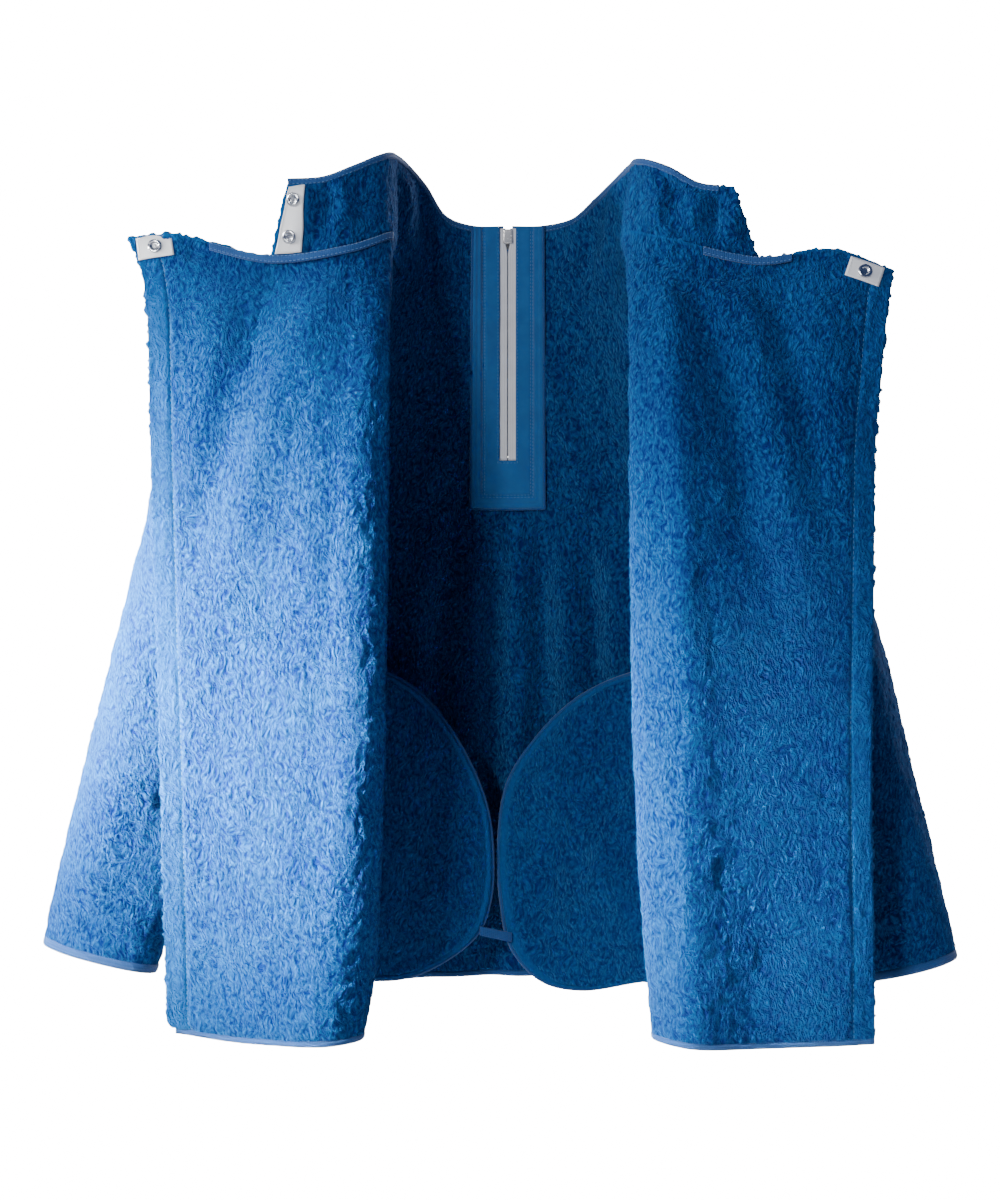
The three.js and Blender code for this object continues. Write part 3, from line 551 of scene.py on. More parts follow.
def makeWall(name, mid, replaced, *, outer, fine, seed, fringe, ring=False, keep=None, nap=None):
    # A closed wall of pile about the sheet mid (rows, columns, 3). The skin on the side `fine` has every
    # grid point and the other every second one. outer is 1 where columns across rows points outwards.
    rows, columns = mid.shape[:2]
    normal = gridNormals(mid, ring) * outer
    nap = np.ones((rows, columns)) if nap is None else nap
    half = tufts["wall"] / 2
    slow, slowNap, slowNormal = mid[::2, ::2], nap[::2, ::2], normal[::2, ::2]
    fineSkin = mid + fine * normal * (half + tuftHeight(mid, seed) * nap)[..., None]
    slowSkin = slow - fine * slowNormal * (half + tuftHeight(slow, seed + 9) * slowNap)[..., None]
    slowRows, slowColumns = slow.shape[:2]
    cells = slowColumns if ring else slowColumns - 1
    keep = np.ones((slowRows - 1, cells), bool) if keep is None else keep
    base = rows * columns
    r, c = np.nonzero(keep)
    fineFaces = quadsAt(*np.nonzero(np.repeat(np.repeat(keep, 2, 0), 2, 1)), columns)
    slowFaces = quadsAt(r, c, slowColumns) + base
    turned = fine * outer < 0
    if turned:
        fineFaces = fineFaces[:, ::-1]
    else:
        slowFaces = slowFaces[:, ::-1]
    # the rim: the slow cells' free edges, each with the three fine points that lie on it
    corners = [((r, c), (r, c + 1), (-1, 0)), ((r, c + 1), (r + 1, c + 1), (0, 1)),
               ((r + 1, c + 1), (r + 1, c), (1, 0)), ((r + 1, c), (r, c), (0, -1))]
    edges = []
    for (r0, c0), (r1, c1), (down, across) in corners:
        nextR, nextC = r + down, c + across
        if ring:
            nextC = nextC % cells
        inside = (nextR >= 0) & (nextR < slowRows - 1) & (nextC >= 0) & (nextC < cells)
        free = ~inside
        free[inside] = ~keep[nextR[inside], nextC[inside]]
        edges.append(np.stack([r0[free], c0[free], r1[free], c1[free]]))
    r0, c0, r1, c1 = np.concatenate(edges, axis=1)
    onFine = [2 * r0 * columns + (2 * c0) % columns, (r0 + r1) * columns + (c0 + c1) % columns,
              2 * r1 * columns + (2 * c1) % columns]
    onSlow = [r0 * slowColumns + c0 % slowColumns + base, r1 * slowColumns + c1 % slowColumns + base]
    flatMid = mid.reshape(-1, 3)
    flatNormal = (normal * outer).reshape(-1, 3)
    rimOf = np.full(rows * columns, -1)
    rimFine = np.unique(np.concatenate(onFine))
    rimOf[rimFine] = np.arange(len(rimFine)) + base + slowRows * slowColumns
    away = np.zeros_like(flatMid)
    for a, b in ((0, 1), (1, 2)):
        step = np.cross(flatMid[onFine[b]] - flatMid[onFine[a]], flatNormal[onFine[a]])
        np.add.at(away, onFine[a], step)
        np.add.at(away, onFine[b], step)
    edgePlace = flatMid[rimFine]
    reach = fringe * np.clip(0.35 + noise(edgePlace / 3.1, seed + 3), 0, 1.3)
    rimPoints = edgePlace + unit(away[rimFine]) * reach[:, None]
    onRim = [rimOf[x] for x in onFine]
    rimQuads = np.concatenate([np.stack([onFine[1], onFine[0], onRim[0], onRim[1]], 1),
                               np.stack([onFine[2], onFine[1], onRim[1], onRim[2]], 1)])
    rimFans = np.concatenate([np.stack([onRim[1], onRim[0], onSlow[0]], 1),
                              np.stack([onRim[1], onSlow[0], onSlow[1]], 1),
                              np.stack([onRim[2], onRim[1], onSlow[1]], 1)])
    if turned:
        rimQuads, rimFans = rimQuads[:, ::-1], rimFans[:, ::-1]
    points = np.concatenate([fineSkin.reshape(-1, 3), slowSkin.reshape(-1, 3), rimPoints])
    naps = np.concatenate([nap.ravel(), slowNap.ravel(), nap.ravel()[rimFine]])
    faces = [fineFaces, slowFaces, rimQuads, rimFans]
    return finishPiece(name, points, faces, sherpa, replaced, nap=naps)


def makeStrip(name, path, normals, size, replaced=(), *, puffs, ring=False, steps=10):
    # A flat band of binding wrapped over an edge: an oval, size[0] along the cloth by size[1] through it,
    # carried along a path; normals point through the cloth. puffs thickens it by (along, around).
    width, thick = size
    along = runAlong(path)
    direction = unit(np.roll(path, -1, 0) - np.roll(path, 1, 0) if ring else np.gradient(path, axis=0))
    through = unit(normals - direction * np.sum(normals * direction, -1, keepdims=True))
    over = np.cross(direction, through)
    angle = np.linspace(0, 2 * np.pi, steps, endpoint=False)
    # an oval with flat sides: the 0.7 power of the cosine and sine
    a = np.sign(np.cos(angle)) * np.abs(np.cos(angle)) ** 0.7 * width / 2
    b = np.sign(np.sin(angle)) * np.abs(np.sin(angle)) ** 0.7 * thick / 2
    swell = 1 + puffs(along[:, None], angle[None, :])
    points = (path[:, None] + over[:, None] * a[None, :, None]
              + through[:, None] * (b[None, :] * swell)[..., None]).reshape(-1, 3)
    n, k = len(path), steps
    turned = np.cumsum(np.full(k, (width + thick) * 2 / k))
    uv = np.stack(np.broadcast_arrays(turned[None, :], along[:, None]), -1).reshape(-1, 2)
    faces = [gridQuads(n, k, ringRows=ring, ringColumns=True, turned=True)]
    if not ring:
        points = np.concatenate([points, path[[0, -1]]])
        uv = np.concatenate([uv, uv[[0, -1]]])
        c = np.arange(k)
        first, last = n * k, n * k + 1
        faces.append(np.stack([c, (c + 1) % k, np.full(k, first)], 1))
        faces.append(np.stack([(n - 1) * k + (c + 1) % k, (n - 1) * k + c, np.full(k, last)], 1))
    return finishPiece(name, points, faces, cloths["binding knit"], replaced, uv=uv)


def makeSlab(name, mid, normals, thick, material, replaced=(), *, keep=None):
    # a thin closed plate of cloth on the grid mid, with its map in millimetres along and across
    rows, columns = mid.shape[:2]
    keep = np.ones((rows - 1, columns - 1), bool) if keep is None else keep
    across, down = runAlong(mid[rows // 2]), runAlong(mid[:, columns // 2])
    uv = np.stack(np.broadcast_arrays(across[None, :], down[:, None]), -1).reshape(-1, 2)
    top = (mid + normals * thick / 2).reshape(-1, 3)
    low = (mid - normals * thick / 2).reshape(-1, 3)
    q = quadsAt(*np.nonzero(keep), columns)
    facing = np.cross(mid[0, 1] - mid[0, 0], mid[1, 0] - mid[0, 0]) @ normals[0, 0]
    if facing < 0:
        q = q[:, ::-1]
    base = rows * columns
    pairs = np.concatenate([q[:, [0, 1]], q[:, [1, 2]], q[:, [2, 3]], q[:, [3, 0]]])
    code = pairs[:, 0] * base + pairs[:, 1]
    free = pairs[~np.isin(pairs[:, 1] * base + pairs[:, 0], code)]
    rim = np.stack([free[:, 1], free[:, 0], free[:, 0] + base, free[:, 1] + base], 1)
    faces = [q, q[:, ::-1] + base, rim]
    points, uv = np.concatenate([top, low]), np.concatenate([uv, uv])
    return finishPiece(name, points, faces, material, replaced, uv=uv)


def makeStitches(name, path, normals, material, slot, *, length=3.0, gap=1.1, width=0.75, height=0.5, lift=0.2):
    # A row of stitches: small six-sided seeds along a path, each sunk at its ends. Each seed has
    # the same ten points, scaled and turned to its place.
    along = runAlong(path)
    count = max(1, int(along[-1] / (length + gap)))
    middle = (np.arange(count) + 0.5) * along[-1] / count
    at = readAlong(middle, along, path)
    ahead = unit(readAlong(middle + 0.5, along, path) - at + 1e-9)
    through = unit(readAlong(middle, along, normals))
    over = unit(np.cross(ahead, through))
    shape = [(-0.5, 0, -0.6)]
    for place, size in ((-0.28, 0.85), (0.28, 0.85)):
        shape += [(place, size * np.cos(a), size * np.sin(a)) for a in np.radians([0, 90, 180, 270])]
    shape = np.array(shape + [(0.5, 0, -0.6)]) * [length, width / 2, height]
    points = (at[:, None] + ahead[:, None] * shape[None, :, :1] + over[:, None] * shape[None, :, 1:2]
              + through[:, None] * (shape[None, :, 2:] + lift))
    ringA, ringB = np.arange(1, 5), np.arange(5, 9)
    triangles = [(0, ringA[(k + 1) % 4], ringA[k]) for k in range(4)]
    triangles += [(9, ringB[k], ringB[(k + 1) % 4]) for k in range(4)]
    sideQuads = [(ringA[k], ringA[(k + 1) % 4], ringB[(k + 1) % 4], ringB[k]) for k in range(4)]
    shift = (np.arange(count) * 10)[:, None, None]
    faces = [(np.array(triangles)[None] + shift).reshape(-1, 3),
             (np.array(sideQuads)[None] + shift).reshape(-1, 4)]
    uv = np.tile(shape[:, :2], (count, 1))
    return finishPiece(name, points.reshape(-1, 3), faces, material, uv=uv)


# the garment's surfaces, all on a grid of u (columns) and v (rows)
cut = {
    "neckHalf": 105, "neckDrop": 56, "shoulderHalf": 225, "shoulderDrop": 48, "armholeFoot": -265,
    "armholeTurn": np.radians(26), "chestHalf": 215, "frontDepth": 132, "backDepth": 112, "hemLevel": -683,
    "hemBinding": 6, "collarHeight": 83, "zipFoot": -190, "facingHalf": 35.5, "slotHalf": 7.8, "slitHalf": 4.0,
    "armholeShare": 0.4, "edgeFacing": 19.0,
}
foldStart, collarEnd = 2 / 7, 5 / 7


def sinkAt(v):
    # 0 at the shoulder, 1 at the underarm: half of one less the cosine of the armhole's turn
    return (1 - np.cos(np.minimum(v / cut["armholeShare"], 1) * np.pi)) / 2


def cutAngle(v):
    return np.pi / 2 - cut["armholeTurn"] * np.sin(np.minimum(v / cut["armholeShare"], 1) * np.pi)


def levelAt(v, topLevel):
    share = np.maximum(0, (v - cut["armholeShare"]) / (1 - cut["armholeShare"]))
    skirt = mix(cut["armholeFoot"], cut["hemLevel"], share)
    return np.where(v < cut["armholeShare"], mix(topLevel, cut["armholeFoot"], sinkAt(v)), skirt)


def topLine(u):
    # round the front neck to the side neck, then straight out and down along the shoulder
    size, side = np.abs(u), np.sign(u)
    angle = size * np.pi
    out = np.clip((size - 0.5) / 0.5, 0, None)
    neck = point(side * cut["neckHalf"] * np.sin(angle), cut["neckHalf"] * np.cos(angle),
                 -cut["neckDrop"] * np.clip(np.cos(angle), 0, None) ** 1.1)
    shoulder = point(side * mix(cut["neckHalf"], cut["shoulderHalf"], out), 0, -cut["shoulderDrop"] * out**1.15)
    return np.where((size < 0.5)[..., None], neck, shoulder)


def bodyAt(u, v, depth):
    # an oval round a general figure below the arms, drawn in towards the shoulder line above
    u, v = np.broadcast_arrays(np.asarray(u, float), np.asarray(v, float))
    sink = sinkAt(v)
    hollow = np.sqrt(1 - (1 - sink) ** 2)
    top = topLine(u)
    angle = u * cutAngle(v)
    swell = mix(1 - (1 - sink) ** 1.5, hollow, u * u)
    front = mix(top[..., 1], depth * np.cos(angle), swell)
    y = front if depth > 0 else depth * np.cos(angle) * hollow
    return point(mix(top[..., 0], cut["chestHalf"] * np.sin(angle), sink), y, levelAt(v, top[..., 2]))


panelShape = {
    "left": {
        "top": [16, 5, -5, 13, 9], "hem": [-685, -687, -688, -688, -684], "topX": [135, 206, 291],
        "fold": [[0, 104], [-200, 105], [-390, 108], [-620, 117], [-687, 129]],
        "edge": [[9, 329], [-20, 317], [-60, 311], [-200, 307], [-390, 302], [-670, 299], [-684, 289]],
    },
    "right": {
        "top": [16, 11, -7, 0, -19], "hem": [-685, -689, -692, -692, -692], "topX": [135, 216, 283],
        "fold": [[0, 106], [-200, 106], [-390, 109], [-560, 117], [-687, 128]],
        "edge": [[-19, 333], [-70, 325], [-200, 315], [-400, 314], [-690, 319]],
    },
}
foldDepth = [[0, 48], [-60, 74], [-140, 95], [-265, 108], [-450, 114], [-690, 116]]
edgeDepth = [[0, 66], [-60, 86], [-140, 99], [-265, 104], [-690, 102]]
foldLoft = 19
foldStops = [(0.16, 0), (0.46, 0.3), (0.75, 0.65)]  # shares of the way across and of the way in to the edge


def hiddenAt(name, share, v):
    # the layer from the side seam and armhole (share 0) to the fold (1), round the figure's back
    share, v = np.broadcast_arrays(np.asarray(share, float), np.asarray(v, float))
    sink = sinkAt(v)
    hollow = np.sqrt(1 - (1 - sink) ** 2)
    top = topLine(mix(1, 0.5, share))
    z = levelAt(v, top[..., 2])
    turned = np.arcsin((atLevel(panelShape[name]["fold"], z) + 9) / cut["chestHalf"])
    angle = mix(cutAngle(v), turned, share)
    x = mix(top[..., 0], cut["chestHalf"] * np.sin(angle), mix(sink, hollow, share))
    return point(sides[name] * x, -cut["backDepth"] * np.cos(angle) * hollow, z)


def panelAt(name, u, v):
    # u from the side seam (0) past the side neck (2/7) and the fold (3/7) to the free edge (1)
    side, shape = sides[name], panelShape[name]
    near = hiddenAt(name, 0.85, v)
    turn = hiddenAt(name, 1.0, v)
    share = turn[:, 2] / cut["hemLevel"]
    level = [mix(top, hem, share) for top, hem in zip(shape["top"], shape["hem"])]
    foldX, edgeX = atLevel(shape["fold"], level[0]), atLevel(shape["edge"], level[4])
    depth, edge = atLevel(foldDepth, level[0]), atLevel(edgeDepth, level[4])
    outer = depth + foldLoft
    settle = np.minimum(1, share * 3)
    stops = [near, turn, point(side * foldX, -depth, level[0])]
    for k, (part, inward) in enumerate(foldStops):
        x = mix(shape["topX"][k], mix(foldX, edgeX, part), settle)
        stops.append(point(side * x, -mix(outer, edge, inward), level[k + 1]))
    stops.append(point(side * edgeX, -edge, level[4]))
    rows = np.stack(stops, axis=1)
    reading = np.broadcast_to((u * 7 - 1)[None] / 6, (len(v), len(u)))
    folded = alongCurve(rows, reading)
    hidden = hiddenAt(name, np.minimum(u / foldStart, 1)[None, :], v[:, None])
    return np.where((u <= foldStart)[None, :, None], hidden, folded)


sleeveOuter = {
    "left": [[225, -48], [256, -60], [284, -95], [302, -150], [321, -230], [343, -300], [367, -388],
             [395, -500], [421, -624]],
    "right": [[225, -48], [254, -60], [280, -95], [296, -150], [310, -230], [327, -305], [348, -392],
              [376, -505], [407, -637]],
}
sleeveInner = {
    "left": [[215, -265], [229, -266], [235, -275], [237, -292], [239, -325], [242, -370], [252, -430],
             [281, -530], [322, -650]],
    "right": [[215, -265], [229, -266], [234, -275], [235, -292], [236, -325], [239, -370], [247, -430],
              [273, -535], [312, -659]],
}
sleeveDepth = [[0, 50], [-1, 60], [-2, 66], [-3, 67], [-4, 63], [-5, 58], [-6, 50], [-7, 38], [-8, 27]]


def sleeveAt(name, turn, t):
    # ovals between an outer and an inner line, drawn to the armhole's own loop at the top
    def lifted(pairs):
        return [[x * sides[name], 0, z] for x, z in pairs]

    def ring(at):
        outer, inner = curve(lifted(sleeveOuter[name]), at), curve(lifted(sleeveInner[name]), at)
        centre = (outer + inner) / 2
        depth = atLevel(sleeveDepth, -at * 8)
        middle = centre[:, None] + (outer - centre)[:, None] * np.cos(turn)[None, :, None]
        return middle + point(0, depth[:, None] * np.sin(turn)[None, :], 0)

    wrapped = np.arctan2(np.sin(turn), np.cos(turn))
    v = np.abs(wrapped) / np.pi * cut["armholeShare"]
    front = bodyAt(np.full_like(v, sides[name]), v, cut["frontDepth"])
    back = bodyAt(np.full_like(v, sides[name]), v, -cut["backDepth"])
    root = np.where((wrapped > 0)[:, None], front, back)
    pull = root[None] - ring(np.zeros(1))
    return ring(t) + pull * (np.clip(1 - 3 * t, 0, None) ** 2)[:, None, None]


collarTop = {
    "left": [[0, 98, 27], [32, 94, 27], [58, 77, 36], [75, 52, 62], [90, 20, 79], [99, -12, 85],
             [107, -46, 84], [136, -66, 71], [160, -70, 62], [190, -73, 60]],
    "right": [[0, 98, 27], [32, 94, 27], [60, 77, 33], [80, 50, 50], [97, 18, 66], [108, -14, 76],
              [115, -46, 79], [138, -66, 71], [166, -70, 56], [195, -73, 54]],
}


def collarAt(name, t, height):
    # t from the zip past the side neck (0.5) to the back end; straight from the base up to the top line
    x, y, z = collarTop[name][1]
    line = np.array([[-x, y, z], *collarTop[name]], float) * [sides[name], 1, 1]
    reading = np.where(t <= 0.5, t * 10 / 9, mix(5 / 9, 1, (t - 0.5) / 0.5))
    top = curve(line, (1 + 9 * reading) / 10)
    front = topLine(sides[name] * np.minimum(t, 0.4999999))
    back = panelAt(name, mix(foldStart, collarEnd, np.clip((t - 0.5) / 0.5, 0, 1)), np.zeros(1))[0]
    base = np.where((t <= 0.5)[:, None], front, back)
    return mix(base[None], top[None], height[:, None, None])


def bandAt(x, d):
    # x across the centre front and d down from the collar's top, both in millimetres
    x, d = np.asarray(x, float), np.asarray(d, float)
    rows = []
    for at in d:
        if at < cut["collarHeight"]:
            t = np.abs(x) / (cut["neckHalf"] * np.pi)
            height = np.array([1 - at / cut["collarHeight"]])
            left, right = collarAt("left", t, height)[0], collarAt("right", t, height)[0]
            rows.append(np.where((x < 0)[:, None], left, right))
        else:
            sink = min(1.0, (at - cut["collarHeight"]) / (-cut["neckDrop"] - cut["armholeFoot"]))
            v = np.arccos(1 - 2 * sink) / np.pi * cut["armholeShare"]
            u = x / mix(cut["neckHalf"] * np.pi, cut["chestHalf"] * cutAngle(v), sink)
            rows.append(bodyAt(u, np.full_like(u, v), cut["frontDepth"]))
    return np.stack(rows)


# creases, placed one by one
frontFolds = [  # across at the facing's foot and 200 mm below it, half width and height: inwards is minus
    (-31, -44, 13, -7.0), (6, 7, 12, -8.5), (52, 66, 13, -8.0), (95, 108, 14, -7.0), (-78, -92, 15, -6.0),
    (-11, -12, 10, 9.5), (30, 35, 10, 9.0), (74, 86, 11, 8.0), (-56, -66, 12, 7.0),
]


def frontCreases(grid):
    # hills and hollows that fan out below the zip's facing and fade out towards the hem, waves at the
    # sides, and a pull and a swell across the chest
    x, z = grid[..., 0], grid[..., 2]
    down = np.clip((-240 - z) / 200, 0, 2)
    height = 0
    for top, foot, wide, deep in frontFolds:
        height = height + deep * bump(x, mix(top, foot, down), wide * (1 + 0.35 * down))
    grow = fade(-z, 236, 330) * (1 - 0.55 * fade(-z, 430, 640))
    waves = 4.0 * np.sin(x / 24 + 0.6 * np.sin(z / 160))
    sideFolds = waves * fade(np.abs(x), 120, 175) * fade(-z, 300, 420)
    pull = -3.5 * bump(np.abs(x) + (z + 130) * 0.35, 45, 13) * fade(-z, 70, 110) * (1 - fade(-z, 190, 260))
    chest = 3.0 * bump(np.abs(x) + z * 0.75, 205, 16) * fade(-z, 90, 150) * (1 - fade(-z, 260, 330))
    return height * grow + sideFolds + pull + chest


panelFolds = {  # across at the neck, slope, half width, height and how far down each one runs
    "left": [(150, 0.42, 17, 4.6, 330), (196, 0.36, 18, -4.4, 300), (238, 0.2, 20, 3.4, 520),
             (132, 0.1, 12, -3.2, 640)],
    "right": [(150, 0.3, 15, -5.2, 330), (186, 0.34, 17, 4.2, 340), (226, 0.22, 18, -3.8, 460),
              (262, 0.12, 20, 3.4, 620), (132, 0.08, 11, 3.0, 640)],
}
waveStart = {"left": 0.9, "right": 2.4}
slowSeeds = {"left": 7, "right": 8}


def panelCreases(name, grid, u):
    # soft drapes from the neck down and out across the outer layer, and slow upright waves
    x, z = np.abs(grid[..., 0]), grid[..., 2]
    height = 0
    for start, slope, wide, deep, run in panelFolds[name]:
        middle = start - slope * z * (1 - 0.5 * np.clip(-z / 700, 0, 1))
        length = fade(-z, 5, 70) * (1 - fade(-z, run * 0.6, run + 120))
        height = height + deep * bump(x, middle, wide * (1 - z / 900)) * length
    waves = 2.6 * np.sin(x / 26 + waveStart[name]) * fade(-z, 420, 660)
    slow = 1.8 * noise(point(x / 70, 0, z / 150), slowSeeds[name])
    return (height + waves + slow) * fade(u, 0.46, 0.6)[None, :]


sleeveSeeds = {"left": 4, "right": 5}


def sleeveCreases(name, grid, turn, t):
    # three long folds round the sleeve that wander as they run down, and slow noise
    seed, z = sleeveSeeds[name], grid[..., 2]
    long = 4.2 * np.sin(turn * 3 + 0.8 * np.sin(z / 90) + seed)
    long = long * (fade(t, 0.18, 0.4) * (1 - 0.5 * fade(t, 0.8, 1)))[:, None]
    slow = 3.0 * noise(grid / 75, seed)
    return (long + slow) * (fade(t, 0.04, 0.2) * (1 - 0.7 * fade(t, 0.93, 1)))[:, None]


def collarCreases(grid, t, height):
    # soft upright folds on the folded-back part, and slanting ones inside the front
    start = fade(height, 0.05, 0.4)[:, None] * (1 - fade(height, 0.75, 0.97))[:, None]
    back = 2.6 * np.sin(grid[..., 0] / 5.4 + 0.5 * np.sin(grid[..., 2] / 9)) * fade(t, 0.62, 0.7)[None]
    front = 3.2 * np.sin(t[None] * 33 - height[:, None] * 2.2)
    front = front * ((1 - fade(t, 0.5, 0.58)) * fade(t, 0.12, 0.22))[None]
    return (back + front) * start


def pushed(grid, amount, outer, ring=False):
    return grid + gridNormals(grid, ring) * (amount * outer)[..., None]


# the panels, front, sleeves and collar
rowCounts = {"panel": 381, "front": 341, "sleeve": 265, "collar": 47, "pocket": 141}
bindingShare = (cut["hemBinding"] / (cut["armholeFoot"] - cut["hemLevel"])) * (1 - cut["armholeShare"])
bodyEnd = 1 - bindingShare


def spaced(surface, knots, count):
    # parameter values that lie evenly along a surface's own line
    fineKnots = np.linspace(knots[0], knots[-1], 600)
    along = runAlong(surface(fineKnots))
    return np.interp(np.linspace(0, along[-1], count), along, fineKnots)


def acrossPanel(name, v, knots, count):
    return spaced(lambda u: panelAt(name, u, np.array([v]))[0], knots, count)


def downBody(u, count):
    return spaced(lambda v: bodyAt(np.full_like(v, u), v, cut["frontDepth"]), [0, bodyEnd], count)


def panelGrid(name, u, v):
    grid = panelAt(name, u, v)
    return pushed(grid, panelCreases(name, grid, u), -sides[name])


def frontGridAt(u, v):
    grid = bodyAt(u[None, :], v[:, None], cut["frontDepth"])
    ease = fade(v, 0.0, 0.05)[:, None] * (1 - fade(np.abs(u), 0.93, 1))[None]
    return pushed(grid, frontCreases(grid) * ease, 1)


rowsDown = downBody(0.8, rowCounts["panel"])
for name, side in sides.items():
    hidden, folded = acrossPanel(name, 0.6, [0, foldStart], 22), acrossPanel(name, 0.6, [foldStart, 1], 114)
    u = np.concatenate([hidden[:-1], folded])
    grid = panelGrid(name, u, rowsDown)
    fromEdge = np.linalg.norm(grid - grid[:, -1:], axis=-1)
    fromTop = np.linalg.norm(grid - grid[:1], axis=-1)
    # the pile is flatter on the edge's facing, and pressed down along its stitches and at the neck
    strip = 1 - fade(fromEdge, cut["edgeFacing"] - 2, cut["edgeFacing"] + 2)
    groove = bump(fromEdge, cut["edgeFacing"], 1.5) * fade(fromTop, 18, 22)
    nap = (1 - 0.3 * strip) * (1 - 0.9 * groove) * (0.3 + 0.7 * fade(fromTop, 0.5, 3.5))
    makeWall(
        "back_panel_" + name, pushed(grid, -1.6 * groove, -side), ["back_" + name], outer=side, fine=-1,
        nap=nap, seed=pileSeeds["back_" + name], fringe=fringes["back_" + name],
    )
print("back panels made")

slitShare = cut["slitHalf"] / (cut["neckHalf"] * np.pi)


def frontSheet():
    # columns are closer together near the middle, and the cells over the zip's slit are left out
    half = np.concatenate([[slitShare], np.linspace(0.02, 0.42, 61)[1:], np.linspace(0.42, 1, 31)[1:]])
    u = np.concatenate([-half[::-1], [0.0], half])
    grid = frontGridAt(u, downBody(0.3, rowCounts["front"]))
    middle = len(u) // 2
    keep = np.ones(((len(grid) - 1) // 2, (len(u) - 1) // 2), bool)
    slitRows = np.sum(grid[::2, middle, 2] > cut["zipFoot"])
    keep[: slitRows - 1, [(middle - 1) // 2, middle // 2]] = False
    return grid, keep


frontGrid, frontKeep = frontSheet()
makeWall("front_body", frontGrid, ["front"], outer=1, fine=-1, keep=frontKeep,
                           seed=pileSeeds["front"], fringe=fringes["front"])
print("front made")

sleeveEnd = 1 - 0.0085


def sleeveGrid(name, turn, t):
    grid = sleeveAt(name, turn, t)
    return pushed(grid, sleeveCreases(name, grid, turn, t), -sides[name], ring=True)


for name, side in sides.items():
    turn = np.linspace(0, 2 * np.pi, 124, endpoint=False)
    turn = turn - 0.12 * np.sin(2 * turn)
    line = [[x, 0, z] for x, z in sleeveOuter[name]]
    t = spaced(lambda w: curve(line, w), [0, sleeveEnd], rowCounts["sleeve"])
    grid = sleeveGrid(name, turn, t)
    nap = np.broadcast_to((0.35 + 0.65 * fade(t, 0, 0.02))[:, None], grid.shape[:2])
    makeWall(
        "sleeve_cloth_" + name, grid, ["sleeve_" + name], outer=-side, fine=1, ring=True, nap=nap,
        seed=pileSeeds["sleeve_" + name], fringe=fringes["sleeve_" + name],
    )
print("sleeves made")

collarBinding = cut["hemBinding"] / cut["collarHeight"]


def collarGrid(name, t, height):
    grid = collarAt(name, t, height)
    return pushed(grid, collarCreases(grid, t, height), -sides[name])


for name, side in sides.items():
    t = spaced(lambda w: collarAt(name, w, np.array([0.5]))[0], [slitShare, 1], 171)
    height = np.linspace(0, 1 - collarBinding, rowCounts["collar"])
    grid = collarGrid(name, t, height)
    if name == "right":
        # past the tape's end the pile itself runs up to the top
        bare = fade(t, 0.935, 0.955)[None] * fade(height, 0.6, 1)[:, None]
        grid = grid + (collarAt(name, t, np.ones(1)) - grid[-1:]) * bare[..., None]
    underFacing = 1 - fade(np.abs(grid[..., 0]), 33, 37) * np.ones(grid.shape[:2])
    underFacing = underFacing * (grid[..., 1] > 40)
    nap = 1 - 0.65 * underFacing
    if name == "left":
        underTape = fade(t, 0.925, 0.945)[None] * np.ones(grid.shape[:2])
        nap = nap * (1 - 0.75 * underTape)
    makeWall(
        "collar_cloth_" + name, grid, ["collar_" + name], outer=-side, fine=-1, nap=nap,
        seed=pileSeeds["collar_" + name], fringe=fringes["collar_" + name],
    )
print("collar made")


# pocket bags: two layers slung from the side seams, with a serged edge
pocketRim = {
    "left": [[186, -371], [150, -371], [112, -380], [78, -402], [44, -448], [20, -503], [13, -545], [15, -600],
             [27, -630], [60, -655], [96, -667], [140, -664], [182, -652]],
    "right": [[186, -374], [150, -374], [110, -382], [62, -407], [22, -449], [-2, -490], [-10, -545], [-8, -600],
              [2, -645], [30, -674], [66, -680], [120, -668], [182, -655]],
}
pocket = {
    "stripWidth": 4.4, "layerOut": 2.15, "puff": 9.0, "root": [207, -384, -640], "rootDepth": 8, "slope": 0.34,
}
bagFolds = {  # height, half width, a place on its line (x, z), and how far each step across and down counts
    "right": [(-9.0, 26, 100, -480, 0.84, -0.54), (5.5, 20, 62, -430, 0.84, -0.54),
              (4.0, 24, 105, -600, 1, 0.5)],
    "left": [(-5.4, 15, 62, -470, 1, 0.25), (-3.2, 20, 100, -560, 1, -0.4), (5.0, 14, 36, -540, 1, 0.15),
             (3.0, 16, 84, -540, 1, 0.2)],
}


def slingDepth(x):
    # the bags lie on a plane that slants in from the side seam towards the front
    return pocket["rootDepth"] + (pocket["root"][0] - x) * pocket["slope"]


def slingNormal(side):
    return unit(np.array([side * pocket["slope"], 1.0, 0.0]))


def rimCurve(name, b):
    return curve([[sides[name] * x, slingDepth(x), z] for x, z in pocketRim[name]], b)


def pocketRoot(name, b):
    x, top, low = pocket["root"]
    return point(sides[name] * x, slingDepth(x), mix(top, low, b))


def pocketFolds(name, a, b, grid):
    # towards the open back is minus; the right bag has one broad valley down to its lower corner
    x, z = grid[..., 0] * sides[name], grid[..., 2]
    height = 0
    for deep, wide, x0, z0, across, down in bagFolds[name]:
        height = height + deep * bump((x - x0) * across + (z - z0) * down, 0, wide)
    easeAcross = np.sin(np.pi * np.clip(a, 0, 1)) ** 0.7
    easeDown = fade(b, 0, 0.08) * (1 - fade(b, 0.9, 1))
    return -height * easeAcross[None, :] * easeDown[:, None]


